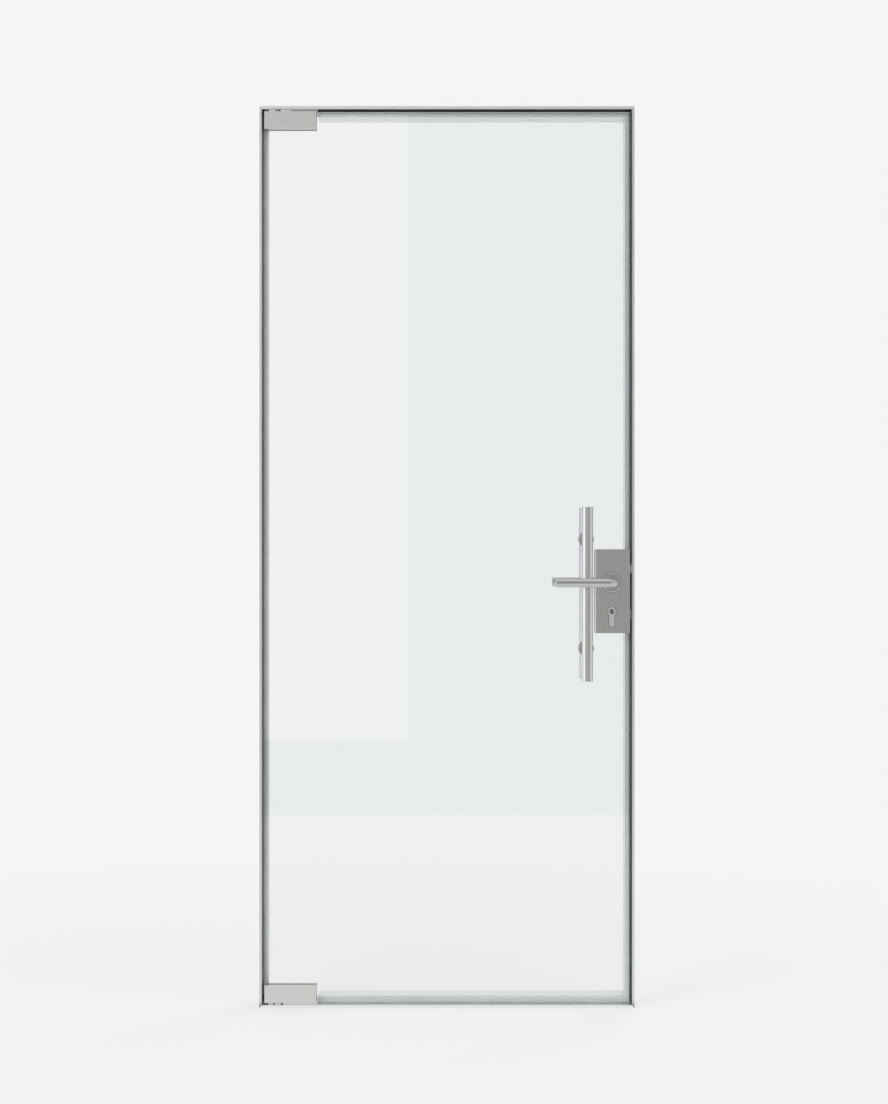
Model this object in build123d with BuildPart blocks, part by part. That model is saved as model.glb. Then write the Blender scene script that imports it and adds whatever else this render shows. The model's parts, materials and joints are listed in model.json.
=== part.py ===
# Interior glass door: a clear leaf on corner pivots in a slim mitred metal frame,
# with a patch lock, two lever handles and a pair of tubular pull bars.
# Millimetres. X runs along the door's width, -Y points at the front, +Z is up.
# The origin is on the floor, in the middle of the frame's width and of the glass.
import os

from build123d import *

os.makedirs("parts", exist_ok=True)

# Frame
frame_width = 880.0
frame_height = 2115.0
frame_depth = 80.0
frame_lip = 13.0          # how far the frame stands in front of the glass's middle
jamb_face = 6.25
header_face = 8.0
sill_face = 6.5
frame_bevel_width = 2.6   # on the outer front edge
frame_bevel_depth = 1.0
channel_mouth = 14.0      # cleat channel in the wall side
channel_width = 20.4
channel_lip = 1.2
channel_depth = 3.6
channel_centre = 48.0
cleat_leg = 60.0
cleat_thickness = 2.2
cleat_clearance = 0.2
fixing_radius = 2.75      # wall screws through the jambs
fixing_head_radius = 5.0
fixing_y = -2.0
fixing_bottom_margin = 110.0
fixing_top_margin = 205.0
fixing_inner_pitch = 700.0

# Clip-in stops and their gaskets
stop_gap = 3.0            # between the back of the glass and a stop
stop_projection = 14.4
sill_stop_projection = 18.0
hinge_stop_projection = 12.0
hinge_stop_front = 30.0   # set back behind the sweep of the heel
patch_clearance = 2.0     # from a patch to the end of a stop
stop_wall = 1.6
stop_front_wall = 3.6
foot_width = 2.0
foot_height = 1.0
foot_inset = 5.0
foot_clearance = 0.15
groove_width = 2.4
groove_depth = 2.2
groove_offset = 1.9
gasket_width = 5.4
gasket_base = 1.0
gasket_bulb = 1.75
gasket_bore = 0.8
gasket_inset = 0.2
gasket_clearance = 0.1

# Leaf
glass_thickness = 10.0
hinge_gap = 4.5
lock_gap = 3.0
top_gap = 5.5
bottom_gap = 6.0
glass_arris = 0.8

# Pivots
pivot_inset = 32.75       # from the leaf's hinge edge to the axis
bottom_pin_radius = 7.0
top_pin_radius = 6.0
pin_reach = 20.0
running_clearance = 0.05
bush_radius = 11.0
bush_height = 26.0
bush_chamfer = 0.6
pin_chamfer = 1.0
washer_chamfer = 0.5
pivot_plate_length = 64.0
pivot_plate_width = 20.0
pivot_plate_thickness = 3.0
washer_radius = 11.75
washer_play = 0.3
pivot_screw_pitch = 48.0

# Patch fittings
patch_length = 122.0
patch_height = 41.0
patch_setback = 1.5
patch_half_thickness = 15.0
pad_thickness = 1.0
patch_cover_wall = 1.0
patch_cover_fillet = 0.8
cover_lift = 0.4          # between a cover's rim and the glass
fit_clearance = 0.2
notch_length = 68.0
notch_height = 30.0
notch_radius = 6.0
patch_screw_places = (12.0, 58.0, 106.0)
glass_bore_radius = 8.0

# Screws
screw_radius = 3.0
screw_head_radius = 5.0
screw_head_height = 4.0
small_screw_radius = 2.5
small_head_radius = 4.5
small_head_height = 1.9
screw_clearance = 0.15
socket_ratio = 0.7        # a small screw's socket to its shank
socket_share = 0.6        # of the head's height
socket_size = 4.0
socket_depth = 2.0

# Patch lock
case_width = 81.75
case_height = 196.5
case_above_spindle = 77.9
case_setback = 2.0        # from the leaf's lock edge
case_half_thickness = 16.5
case_wall = 2.0
case_face_wall = 2.5
case_bevel_width = 5.5
case_bevel_depth = 2.5
case_fillet = 0.6
spindle_height = 997.5
backset = 42.75
cylinder_drop = 67.8
back_cover_gap = 3.1      # from the back cover to the stop
forend_thickness = 2.0
chassis_left = 16.0
chassis_bottom = 11.0
chassis_top = 20.4
chassis_wall = 1.5
notch_clearance = 1.5
case_screw_radius = 2.4
case_boss_radius = 4.5
case_boss_inset = 9.0
case_screw_end = 1.0      # from a screw's tip to the bottom of its hole
case_screw_drop = 32.5    # the screw beside the bolt, below the spindle

# Latch, bolt and follower
bolt_thickness = 6.6
bolt_play = 0.1
latch_height = 20.0
latch_above_spindle = 32.5
latch_projection = 10.0
latch_body_length = 26.0
latch_bevel = 8.5
latch_flat = 1.0          # of the nose, in front of the bevel
latch_tail_height = 8.0
latch_lug_width = 5.0
deadbolt_height = 21.0
deadbolt_drop = 7.3       # below the cylinder's centre
deadbolt_rest = 2.5
deadbolt_length = 29.0
deadbolt_tail = 8.0
deadbolt_tail_length = 32.0
deadbolt_chamfer = 0.5
tail_clearance = 1.0      # over the cylinder
keep_clearance = 0.6
follower_radius = 9.0
journal_radius = 7.0
follower_arm = 17.0
follower_tip = 3.0
arm_gap = 0.3
spindle_size = 8.0
spindle_length = 110.0
spindle_clearance = 0.05
spindle_chamfer = 0.5
spring_wire = 0.8
spring_radius = 13.0

# Levers and roses
lever_radius = 10.5
lever_centreline = 77.0   # from the middle of the glass
lever_length = 145.0
lever_elbow = 14.0
lever_end_chamfer = 1.2
lever_play = 0.4
rose_radius = 23.0
rose_thickness = 4.0
rose_fillet = 1.5
rose_bore_clearance = 0.6
grub_radius = 2.0
grub_length = 6.0
grub_from_rose = 4.0

# Profile cylinder
cylinder_radius = 10.4
cylinder_leg = 12.6
cylinder_height = 47.0
cylinder_proud = 2.0
plug_radius = 6.5
keyway_width = 2.6
keyway_height = 10.0
keyway_depth = 9.0
cam_radius = 11.0
cam_width = 6.0
cam_thickness = 6.4
cam_gap = 5.3
bridge_height = 13.0
profile_clearance = 0.3

# Strike
strike_width = 18.0
strike_thickness = 2.0
strike_margin = 20.0
strike_front = 11.0
strike_corner_radius = 2.0

# Pull bars
pull_radius = 13.0
pull_length = 406.0
pull_wall = 1.5
pull_edge_distance = 103.75   # from the leaf's lock edge
pull_centre_height = 971.0
pull_centreline = 50.0
post_spacing = 256.0
post_radius = 7.0
rosette_radius = 18.0
rosette_thickness = 5.0
rosette_chamfer = 2.5
cap_thickness = 1.5
cap_chamfer = 0.6
cap_plug = 8.0
flange_radius = 14.0
flange_thickness = 1.0
stud_radius = 3.0
stud_reach = 22.0
pull_bore_radius = 7.0

# Places worked out from the sizes above
left = -frame_width / 2
right = frame_width / 2
front = -frame_lip
back = frame_depth - frame_lip
glass_half = glass_thickness / 2
stop_front = glass_half + stop_gap
leaf_left = left + jamb_face + hinge_gap
leaf_right = right - jamb_face - lock_gap
leaf_bottom = sill_face + bottom_gap
leaf_top = frame_height - header_face - top_gap
pivot_x = leaf_left + pivot_inset
patch_left = leaf_left + patch_setback
patch_right = patch_left + patch_length
pad_outer = glass_half + pad_thickness
case_right = leaf_right - case_setback
case_left = case_right - case_width
case_top = spindle_height + case_above_spindle
case_bottom = case_top - case_height
spindle_x = case_right - backset
cylinder_z = spindle_height - cylinder_drop
stop_edge_x = right - jamb_face - stop_projection
back_cover_right = stop_edge_x - back_cover_gap
stop_end_x = patch_right + patch_clearance
pull_x = leaf_right - pull_edge_distance
cylinder_half_length = case_half_thickness + cylinder_proud
bolt_half = bolt_thickness / 2
edge_tolerance = 0.1      # for picking an edge by its place


# Frame members run clockwise as seen from the front. On each member's plane, local x points
# into the opening, local y to the back, and the normal along the member from its first corner.
def member_plane(corner):
    if corner == "bottom_left":
        return Plane(origin=(left, 0, 0), x_dir=(1, 0, 0), z_dir=(0, 0, 1))
    if corner == "top_left":
        return Plane(origin=(left, 0, frame_height), x_dir=(0, 0, -1), z_dir=(1, 0, 0))
    if corner == "top_right":
        return Plane(origin=(right, 0, frame_height), x_dir=(-1, 0, 0), z_dir=(0, 0, -1))
    return Plane(origin=(right, 0, 0), x_dir=(0, 0, 1), z_dir=(-1, 0, 0))


def side_plane(plane):
    """Local x points into the opening and local y along the member."""
    return Plane(origin=plane.origin, x_dir=plane.x_dir, z_dir=-plane.y_dir)


def xz_plane(y):
    """Local x is the door's X and local y its Z. The normal points at the front."""
    return Plane(origin=(0, y, 0), x_dir=(1, 0, 0), z_dir=(0, -1, 0))


def box_corners(x_low, z_low, x_high, z_high, mode=Mode.ADD):
    """A rectangle on an xz_plane, given by its corners."""
    with Locations(((x_low + x_high) / 2, (z_low + z_high) / 2)):
        Rectangle(x_high - x_low, z_high - z_low, mode=mode)


def keep_between(plane, low, high, start, end, foot=0):
    """Cuts what is built so far to a run whose ends lie on lines in the door's plane.

    start and end are (distance along the member, slope of that distance over the depth).
    Feet below the low side are kept as far along as the low side itself."""
    near = start[0] + start[1] * low
    far = end[0] + end[1] * low
    with BuildSketch(side_plane(plane)) as kept:
        Polygon(
            (low, near),
            (high, start[0] + start[1] * high),
            (high, end[0] + end[1] * high),
            (low, far),
            align=None,
        )
        if foot:
            box_corners(low - foot, near, low, far)
    extrude(kept.sketch, amount=frame_depth * 2, both=True, mode=Mode.INTERSECT)


def frame_member(corner, length, face, face_before, face_after, feet_from):
    plane = member_plane(corner)
    slot_depth = channel_depth * face / jamb_face
    bevel_width = frame_bevel_width * face / jamb_face
    with BuildPart() as member:
        with BuildSketch(plane):
            with Locations((0, front)):
                Rectangle(face, frame_depth, align=(Align.MIN, Align.MIN))
                Polygon(
                    (0, 0),
                    (bevel_width, 0),
                    (0, frame_bevel_depth),
                    align=None,
                    mode=Mode.SUBTRACT,
                )
            with Locations((0, channel_centre)):
                Rectangle(
                    slot_depth, channel_mouth, align=(Align.MIN, Align.CENTER), mode=Mode.SUBTRACT
                )
            with Locations((channel_lip, channel_centre)):
                Rectangle(
                    slot_depth - channel_lip,
                    channel_width,
                    align=(Align.MIN, Align.CENTER),
                    mode=Mode.SUBTRACT,
                )
            for depth in (feet_from + foot_inset, back - foot_inset):
                with Locations((face, depth)):
                    Rectangle(
                        foot_height + foot_clearance,
                        foot_width + 2 * foot_clearance,
                        align=(Align.MAX, Align.CENTER),
                        mode=Mode.SUBTRACT,
                    )
        extrude(amount=length)
        keep_between(
            plane, 0, face, (0, face_before / face), (length, -face_after / face)
        )
    return member


def stop_run(corner, face, projection, front_face, start, end):
    """A hollow clip-in stop with a gasket groove and two snap feet."""
    plane = member_plane(corner)
    with BuildPart() as stop:
        with BuildSketch(plane):
            with Locations((face, front_face)):
                Rectangle(projection, back - front_face, align=(Align.MIN, Align.MIN))
            with Locations((face + stop_wall, front_face + stop_front_wall)):
                Rectangle(
                    projection - 2 * stop_wall,
                    back - front_face - stop_front_wall - stop_wall,
                    align=(Align.MIN, Align.MIN),
                    mode=Mode.SUBTRACT,
                )
            with Locations((face + groove_offset, front_face)):
                Rectangle(
                    groove_width, groove_depth, align=(Align.MIN, Align.MIN), mode=Mode.SUBTRACT
                )
            for depth in (front_face + foot_inset, back - foot_inset):
                with Locations((face, depth)):
                    Rectangle(foot_height, foot_width, align=(Align.MAX, Align.CENTER))
        extrude(amount=frame_width + frame_height)
        keep_between(plane, face, face + projection, start, end, foot_height)
    return stop


def gasket_run(corner, face, projection, front_face, start, end):
    """A black bulb gasket whose stem sits in the stop's groove."""
    plane = member_plane(corner)
    stem_centre = face + groove_offset + groove_width / 2
    with BuildPart() as gasket:
        with BuildSketch(plane):
            with Locations((stem_centre, front_face - gasket_base)):
                Circle(gasket_bulb)
            with Locations((stem_centre, front_face)):
                Rectangle(
                    2 * gasket_bulb,
                    gasket_bulb,
                    align=(Align.CENTER, Align.MIN),
                    mode=Mode.SUBTRACT,
                )
                Rectangle(
                    groove_width - 2 * gasket_clearance,
                    groove_depth - gasket_clearance,
                    align=(Align.CENTER, Align.MIN),
                )
            with Locations((face + gasket_inset, front_face)):
                Rectangle(gasket_width, gasket_base, align=(Align.MIN, Align.MAX))
            with Locations((stem_centre, front_face - gasket_base)):
                Circle(gasket_bore, mode=Mode.SUBTRACT)
        extrude(amount=frame_width + frame_height)
        keep_between(plane, face, face + projection, start, end)
    return gasket


def mitre_start(face, projection, face_before, projection_before):
    """The line that the run meets its neighbour on, at the member's first corner."""
    slope = projection_before / projection
    return (face_before - slope * face, slope)


def mitre_end(length, face, projection, face_after, projection_after):
    slope = -projection_after / projection
    return (length - face_after - slope * face, slope)


# Frame
frame_jamb_hinge = frame_member(
    "bottom_left", frame_height, jamb_face, sill_face, header_face, hinge_stop_front
)
frame_header = frame_member(
    "top_left", frame_width, header_face, jamb_face, jamb_face, stop_front
)
frame_jamb_lock = frame_member(
    "top_right", frame_height, jamb_face, header_face, sill_face, stop_front
)
frame_sill = frame_member(
    "bottom_right", frame_width, sill_face, jamb_face, jamb_face, stop_front
)

fixing_ends = (fixing_bottom_margin, frame_height - fixing_top_margin)
fixing_centre = sum(fixing_ends) / 2
fixing_heights = [
    *fixing_ends,
    fixing_centre - fixing_inner_pitch / 2,
    fixing_centre + fixing_inner_pitch / 2,
]


def drill_fixings(jamb, wall_x, inward):
    """Countersunk wall screw holes in the floor of the rebate."""
    with jamb:
        for height in fixing_heights:
            seat = Plane(
                origin=(wall_x + inward * jamb_face, fixing_y, height),
                x_dir=(0, 1, 0),
                z_dir=(inward, 0, 0),
            )
            with Locations(seat):
                CounterSinkHole(fixing_radius, fixing_head_radius, depth=jamb_face)


drill_fixings(frame_jamb_hinge, left, 1)
drill_fixings(frame_jamb_lock, right, -1)

# Corner cleats, one bent bracket in the channels of each corner
with BuildPart() as corner_cleats:
    for x_side in (-1, 1):
        for z_side in (-1, 1):
            corner = Plane(
                origin=(
                    x_side * (right - channel_lip),
                    channel_centre,
                    frame_height / 2 + z_side * (frame_height / 2 - channel_lip),
                ),
                x_dir=(-x_side, 0, 0),
                z_dir=(0, -x_side * z_side, 0),
            )
            with BuildSketch(corner):
                Rectangle(cleat_leg, cleat_thickness, align=(Align.MIN, Align.MIN))
                Rectangle(cleat_thickness, cleat_leg, align=(Align.MIN, Align.MIN))
            extrude(amount=channel_width / 2 - cleat_clearance, both=True)

# Stops
start_at_patch = (stop_end_x - left, 0)
end_at_patch = (right - stop_end_x, 0)
stop_hinge_ends = ((sill_face, 0), (frame_height - header_face, 0))
stop_lock_ends = (
    mitre_start(jamb_face, stop_projection, header_face, stop_projection),
    mitre_end(frame_height, jamb_face, stop_projection, sill_face, sill_stop_projection),
)
stop_header_ends = (
    start_at_patch,
    mitre_end(frame_width, header_face, stop_projection, jamb_face, stop_projection),
)
stop_sill_ends = (
    mitre_start(sill_face, sill_stop_projection, jamb_face, stop_projection),
    end_at_patch,
)
runs = {
    "hinge": ("bottom_left", jamb_face, hinge_stop_projection, hinge_stop_front, *stop_hinge_ends),
    "lock": ("top_right", jamb_face, stop_projection, stop_front, *stop_lock_ends),
    "header": ("top_left", header_face, stop_projection, stop_front, *stop_header_ends),
    "sill": ("bottom_right", sill_face, sill_stop_projection, stop_front, *stop_sill_ends),
}
for side, run in runs.items():
    stop = stop_run(*run)
    stop.part.label = f"stop_{side}"
    export_step(stop.part, f"parts/stop_{side}.step")
    gasket = gasket_run(*run)
    gasket.part.label = f"gasket_{side}"
    export_step(gasket.part, f"parts/gasket_{side}.step")


# Screws are modelled with plain shanks
def countersunk_screw(seat, radius, head_radius, head_height, length):
    """Adds a flush screw. The plane's normal points out of the head."""
    with BuildSketch(seat) as top:
        Circle(head_radius)
    with BuildSketch(seat.offset(-head_height)) as shank:
        Circle(radius)
    loft([top.sketch, shank.sketch])
    extrude(shank.sketch, amount=-(length - head_height))
    with BuildSketch(seat) as socket:
        RegularPolygon(radius * socket_ratio, 6)
    extrude(socket.sketch, amount=-head_height * socket_share, mode=Mode.SUBTRACT)


# Pivots. The axis passes through both corner patches.
def pivot_plate(web_z, outward):
    """A plate let into the sill or header. outward points into the wall or floor."""
    with BuildSketch(Plane.XY.offset(web_z)) as outline:
        with Locations((pivot_x, 0)):
            SlotOverall(pivot_plate_length, pivot_plate_width)
    extrude(outline.sketch, amount=outward * pivot_plate_thickness)


def pivot_seats(web_z, outward):
    """The planes of the two countersunk screws of a pivot plate."""
    return [
        Plane(
            origin=(pivot_x + way * pivot_screw_pitch / 2, 0, web_z),
            x_dir=(1, 0, 0),
            z_dir=(0, 0, -outward),
        )
        for way in (-1, 1)
    ]


def screw_length(face):
    return face - screw_clearance


sill_z = sill_face
header_z = frame_height - header_face
pivot_levels = {"bottom": (sill_z, -1, sill_face), "top": (header_z, 1, header_face)}
members = {"bottom": frame_sill, "top": frame_header}
for end, (web_z, outward, face) in pivot_levels.items():
    with members[end]:
        with BuildSketch(Plane.XY.offset(web_z)) as recess:
            with Locations((pivot_x, 0)):
                SlotOverall(pivot_plate_length + fit_clearance, pivot_plate_width + fit_clearance)
        extrude(recess.sketch, amount=outward * pivot_plate_thickness, mode=Mode.SUBTRACT)
        for seat in pivot_seats(web_z, outward):
            with BuildSketch(seat) as bore:
                Circle(small_screw_radius + screw_clearance)
            extrude(bore.sketch, amount=-face, mode=Mode.SUBTRACT)

pin_radii = {"bottom": bottom_pin_radius, "top": top_pin_radius}
leaf_edges = {"bottom": leaf_bottom, "top": leaf_top}
for end, (web_z, outward, face) in pivot_levels.items():
    reach = abs(leaf_edges[end] - web_z) + pin_reach
    with BuildPart() as pivot:
        pivot_plate(web_z, outward)
        with BuildSketch(Plane.XY.offset(web_z)):
            with Locations((pivot_x, 0)):
                Circle(pin_radii[end])
        extrude(amount=-outward * reach)
        tip = pivot.edges().filter_by(GeomType.CIRCLE).sort_by(Axis.Z)
        chamfer(tip[-1] if outward < 0 else tip[0], pin_chamfer)
        for seat in pivot_seats(web_z, outward):
            with Locations(seat):
                CounterSinkHole(
                    small_screw_radius + screw_clearance,
                    small_head_radius + screw_clearance,
                    depth=pivot_plate_thickness,
                )
    pivot.part.label = f"{end}_pivot"
    export_step(pivot.part, f"parts/{end}_pivot.step")

with BuildPart() as thrust_washer:
    with BuildSketch(Plane.XY.offset(sill_z)):
        with Locations((pivot_x, 0)):
            Circle(washer_radius)
            Circle(bottom_pin_radius + fit_clearance, mode=Mode.SUBTRACT)
    extrude(amount=bottom_gap - washer_play)
    chamfer(thrust_washer.edges().filter_by(GeomType.CIRCLE).group_by(Axis.Z)[-1], washer_chamfer)

with BuildPart() as pivot_screws:
    for web_z, outward, face in pivot_levels.values():
        for seat in pivot_seats(web_z, outward):
            countersunk_screw(
                seat, small_screw_radius, small_head_radius, small_head_height, screw_length(face)
            )

# Glass leaf with its polished edges, notches and bores
patch_screw_z = patch_height / 2
post_heights = [pull_centre_height + way * post_spacing / 2 for way in (-1, 1)]
chassis_x = case_left + chassis_left
chassis_z = (case_bottom + chassis_bottom, case_top - chassis_top)
lock_notch_left = chassis_x - notch_clearance
lock_notch_z = (chassis_z[0] - notch_clearance, chassis_z[1] + notch_clearance)


def patch_point(end, along, up):
    """A point of a patch, from its hinge end and from the leaf's edge."""
    inward = 1 if end == "bottom" else -1
    return (patch_left + along, leaf_edges[end] + inward * up)


def notch_bounds(end):
    """The corner notch of the glass, running past the leaf's edges."""
    inward = 1 if end == "bottom" else -1
    edge = leaf_edges[end]
    z_values = sorted((edge - inward * notch_height, edge + inward * notch_height))
    return (leaf_left - notch_length, z_values[0], leaf_left + notch_length, z_values[1])


with BuildPart() as glass_leaf:
    with BuildSketch(xz_plane(0)):
        box_corners(leaf_left, leaf_bottom, leaf_right, leaf_top)
    extrude(amount=glass_half, both=True)
    chamfer(glass_leaf.edges().filter_by(Axis.Y, reverse=True), glass_arris)
    with BuildSketch(xz_plane(0)) as notches:
        for end in leaf_edges:
            box_corners(*notch_bounds(end))
        box_corners(
            lock_notch_left, lock_notch_z[0], 2 * leaf_right - lock_notch_left, lock_notch_z[1]
        )
        fillet(notches.vertices(), notch_radius)
        for end in leaf_edges:
            with Locations(patch_point(end, patch_screw_places[2], patch_screw_z)):
                Circle(glass_bore_radius)
        for height in post_heights:
            with Locations((pull_x, height)):
                Circle(pull_bore_radius)
    extrude(amount=glass_thickness, both=True, mode=Mode.SUBTRACT)

# Corner patches: two clamp plates on pads, a pivot bush, and a cap over each plate
plate_inset = patch_cover_wall + fit_clearance
plate_thickness = patch_half_thickness - patch_cover_wall - fit_clearance - pad_outer


def plate_bounds(end):
    low = patch_point(end, plate_inset, plate_inset)
    high = patch_point(end, patch_length - plate_inset, patch_height - plate_inset)
    return (low[0], min(low[1], high[1]), high[0], max(low[1], high[1]))


def drill_patch(end, y_from, y_to, radius, places=patch_screw_places):
    with BuildSketch(xz_plane(y_from)) as bores:
        for along in places:
            with Locations(patch_point(end, along, patch_screw_z)):
                Circle(radius)
    extrude(bores.sketch, amount=y_from - y_to, mode=Mode.SUBTRACT)


def cut_bush_seat(end, radius):
    inward = 1 if end == "bottom" else -1
    with BuildSketch(Plane.XY.offset(leaf_edges[end] - inward * patch_height)) as seat:
        with Locations((pivot_x, 0)):
            Circle(radius)
    extrude(
        seat.sketch,
        amount=inward * (patch_height + bush_height + fit_clearance),
        mode=Mode.SUBTRACT,
    )


def slab(y_near, y_far, *bounds):
    """A block between two depths, near the front first."""
    with BuildSketch(xz_plane(y_far)) as outline:
        box_corners(*bounds)
    extrude(outline.sketch, amount=y_far - y_near)


for end in leaf_edges:
    inward = 1 if end == "bottom" else -1
    plate_near = pad_outer
    plate_far = pad_outer + plate_thickness
    with BuildPart() as front_clamp:
        slab(-plate_far, -plate_near, *plate_bounds(end))
        cut_bush_seat(end, bush_radius + running_clearance)
        drill_patch(end, -plate_near, -plate_far, screw_radius + screw_clearance)
        drill_patch(
            end, -plate_far + screw_head_height, -plate_far, screw_head_radius + fit_clearance
        )
    front_clamp.part.label = f"{end}_patch_front_clamp"
    export_step(front_clamp.part, f"parts/{end}_patch_front_clamp.step")

    boss_low = patch_point(end, plate_inset, plate_inset)
    boss_high = (leaf_left + notch_length - notch_clearance, 0)
    boss_top = patch_point(end, 0, notch_height - notch_clearance)
    with BuildPart() as back_clamp:
        slab(plate_near, plate_far, *plate_bounds(end))
        slab(
            -plate_near + fit_clearance,
            plate_near,
            boss_low[0],
            min(boss_low[1], boss_top[1]),
            boss_high[0],
            max(boss_low[1], boss_top[1]),
        )
        fillet(
            back_clamp.edges()
            .filter_by(Axis.Y)
            .filter_by_position(
                Axis.X, boss_high[0] - edge_tolerance, boss_high[0] + edge_tolerance
            ),
            notch_radius - notch_clearance,
        )
        cut_bush_seat(end, bush_radius + running_clearance)
        drill_patch(end, plate_far, -plate_near, screw_radius + screw_clearance)
    back_clamp.part.label = f"{end}_patch_back_clamp"
    export_step(back_clamp.part, f"parts/{end}_patch_back_clamp.step")

    for face_name, way in (("front", -1), ("back", 1)):
        rim = way * (glass_half + cover_lift)
        face_y = way * patch_half_thickness
        outline = (
            patch_left,
            min(leaf_edges[end], patch_point(end, 0, patch_height)[1]),
            patch_right,
            max(leaf_edges[end], patch_point(end, 0, patch_height)[1]),
        )
        with BuildPart() as cover:
            slab(min(rim, face_y), max(rim, face_y), *outline)
            rim_edges = cover.edges().filter_by(Axis.Y, reverse=True).group_by(Axis.Y)
            fillet(rim_edges[0] if way < 0 else rim_edges[-1], patch_cover_fillet)
            inner_face = face_y - way * patch_cover_wall
            with BuildSketch(xz_plane(max(rim, inner_face))):
                box_corners(
                    outline[0] + patch_cover_wall,
                    outline[1] + patch_cover_wall,
                    outline[2] - patch_cover_wall,
                    outline[3] - patch_cover_wall,
                )
            extrude(amount=abs(inner_face - rim), mode=Mode.SUBTRACT)
            with BuildSketch(Plane.XY.offset(leaf_edges[end] + inward * plate_inset)):
                with Locations((pivot_x, 0)):
                    Circle(bush_radius + 2 * fit_clearance)
            extrude(amount=-inward * patch_height, mode=Mode.SUBTRACT)
        cover.part.label = f"{end}_patch_{face_name}_cover"
        export_step(cover.part, f"parts/{end}_patch_{face_name}_cover.step")

    with BuildPart() as bush:
        with BuildSketch(Plane.XY.offset(leaf_edges[end])):
            with Locations((pivot_x, 0)):
                Circle(bush_radius)
                Circle(pin_radii[end] + running_clearance, mode=Mode.SUBTRACT)
        extrude(amount=inward * bush_height)
        mouth = bush.edges().filter_by(GeomType.CIRCLE).sort_by(Axis.Z)
        chamfer(mouth[0:2] if inward > 0 else mouth[-2:], bush_chamfer)
    bush.part.label = f"{end}_patch_bush"
    export_step(bush.part, f"parts/{end}_patch_bush.step")

with BuildPart() as patch_pads:
    for end in leaf_edges:
        for y in (-glass_half, pad_outer):
            with BuildSketch(xz_plane(y)):
                box_corners(*plate_bounds(end))
                box_corners(*notch_bounds(end), mode=Mode.SUBTRACT)
                with Locations(patch_point(end, patch_screw_places[2], patch_screw_z)):
                    Circle(glass_bore_radius, mode=Mode.SUBTRACT)
            extrude(amount=pad_thickness)

with BuildPart() as patch_screws:
    for end in leaf_edges:
        for along in patch_screw_places:
            x, z = patch_point(end, along, patch_screw_z)
            head = Plane(origin=(x, -plate_far + fit_clearance, z), x_dir=(1, 0, 0), z_dir=(0, -1, 0))
            with BuildSketch(head):
                Circle(screw_head_radius)
            extrude(amount=-(screw_head_height - fit_clearance))
            with BuildSketch(head):
                Circle(screw_radius)
            extrude(amount=-(2 * plate_far - 2 * fit_clearance - screw_clearance))
            with BuildSketch(head):
                RegularPolygon(socket_size / 2, 6)
            extrude(amount=-socket_depth, mode=Mode.SUBTRACT)


# Profile cylinder outline, shared by the cylinder and every plate that it passes through
def profile_outline(grow):
    with Locations((spindle_x, cylinder_z)):
        Circle(cylinder_radius + grow)
    leg_end = cylinder_z + cylinder_radius - cylinder_height + cylinder_leg / 2
    with Locations((spindle_x, (cylinder_z + leg_end) / 2)):
        Rectangle(cylinder_leg + 2 * grow, cylinder_z - leg_end)
    with Locations((spindle_x, leg_end)):
        Circle(cylinder_leg / 2 + grow)


def cut_profile(y_far, depth):
    with BuildSketch(xz_plane(y_far)) as profile:
        profile_outline(profile_clearance)
    extrude(profile.sketch, amount=depth, mode=Mode.SUBTRACT)


# Lock chassis: an open-edged flat box in the glass's notch
chassis_half = glass_half
chassis_right = case_right - forend_thickness
inner_half = bolt_half + bolt_play
latch_z = spindle_height + latch_above_spindle
deadbolt_z = cylinder_z - deadbolt_drop
boss_x = (chassis_x + case_boss_inset, back_cover_right - case_boss_inset)
boss_z = (chassis_z[0] + case_boss_inset, chassis_z[1] - case_boss_inset)
case_screw_points = [
    (boss_x[0], boss_z[0]),
    (boss_x[0], boss_z[1]),
    (boss_x[1], boss_z[1]),
    (boss_x[1], spindle_height - case_screw_drop),
]
cylinder_screw_z = cylinder_z + cylinder_radius - cylinder_height + bridge_height / 2

with BuildPart() as lock_chassis:
    slab(-chassis_half, chassis_half, chassis_x, chassis_z[0], chassis_right, chassis_z[1])
    fillet(
        lock_chassis.edges().filter_by(Axis.Y).group_by(Axis.X)[0], notch_radius - notch_clearance
    )
    with BuildSketch(xz_plane(inner_half)):
        box_corners(
            chassis_x + chassis_wall,
            chassis_z[0] + case_boss_inset,
            chassis_right - chassis_wall,
            chassis_z[1] - chassis_wall,
        )
    extrude(amount=2 * inner_half, mode=Mode.SUBTRACT)
    for height, opening in ((latch_z, latch_height), (deadbolt_z, deadbolt_height)):
        with BuildSketch(Plane.YZ.offset(chassis_right - 2 * chassis_wall)):
            with Locations((0, height)):
                Rectangle(2 * inner_half, opening + 2 * bolt_play)
        extrude(amount=3 * chassis_wall, mode=Mode.SUBTRACT)
    with BuildSketch(xz_plane(chassis_half)):
        with Locations((spindle_x, spindle_height)):
            Circle(journal_radius + running_clearance)
        with Locations(*case_screw_points):
            Circle(case_screw_radius + fit_clearance)
    extrude(amount=2 * chassis_half, mode=Mode.SUBTRACT)
    cut_profile(chassis_half, 2 * chassis_half)
    with BuildSketch(Plane.YZ.offset(chassis_right)):
        with Locations((0, cylinder_screw_z)):
            Circle(small_screw_radius + screw_clearance)
    extrude(amount=-(chassis_right - spindle_x), mode=Mode.SUBTRACT)

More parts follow.
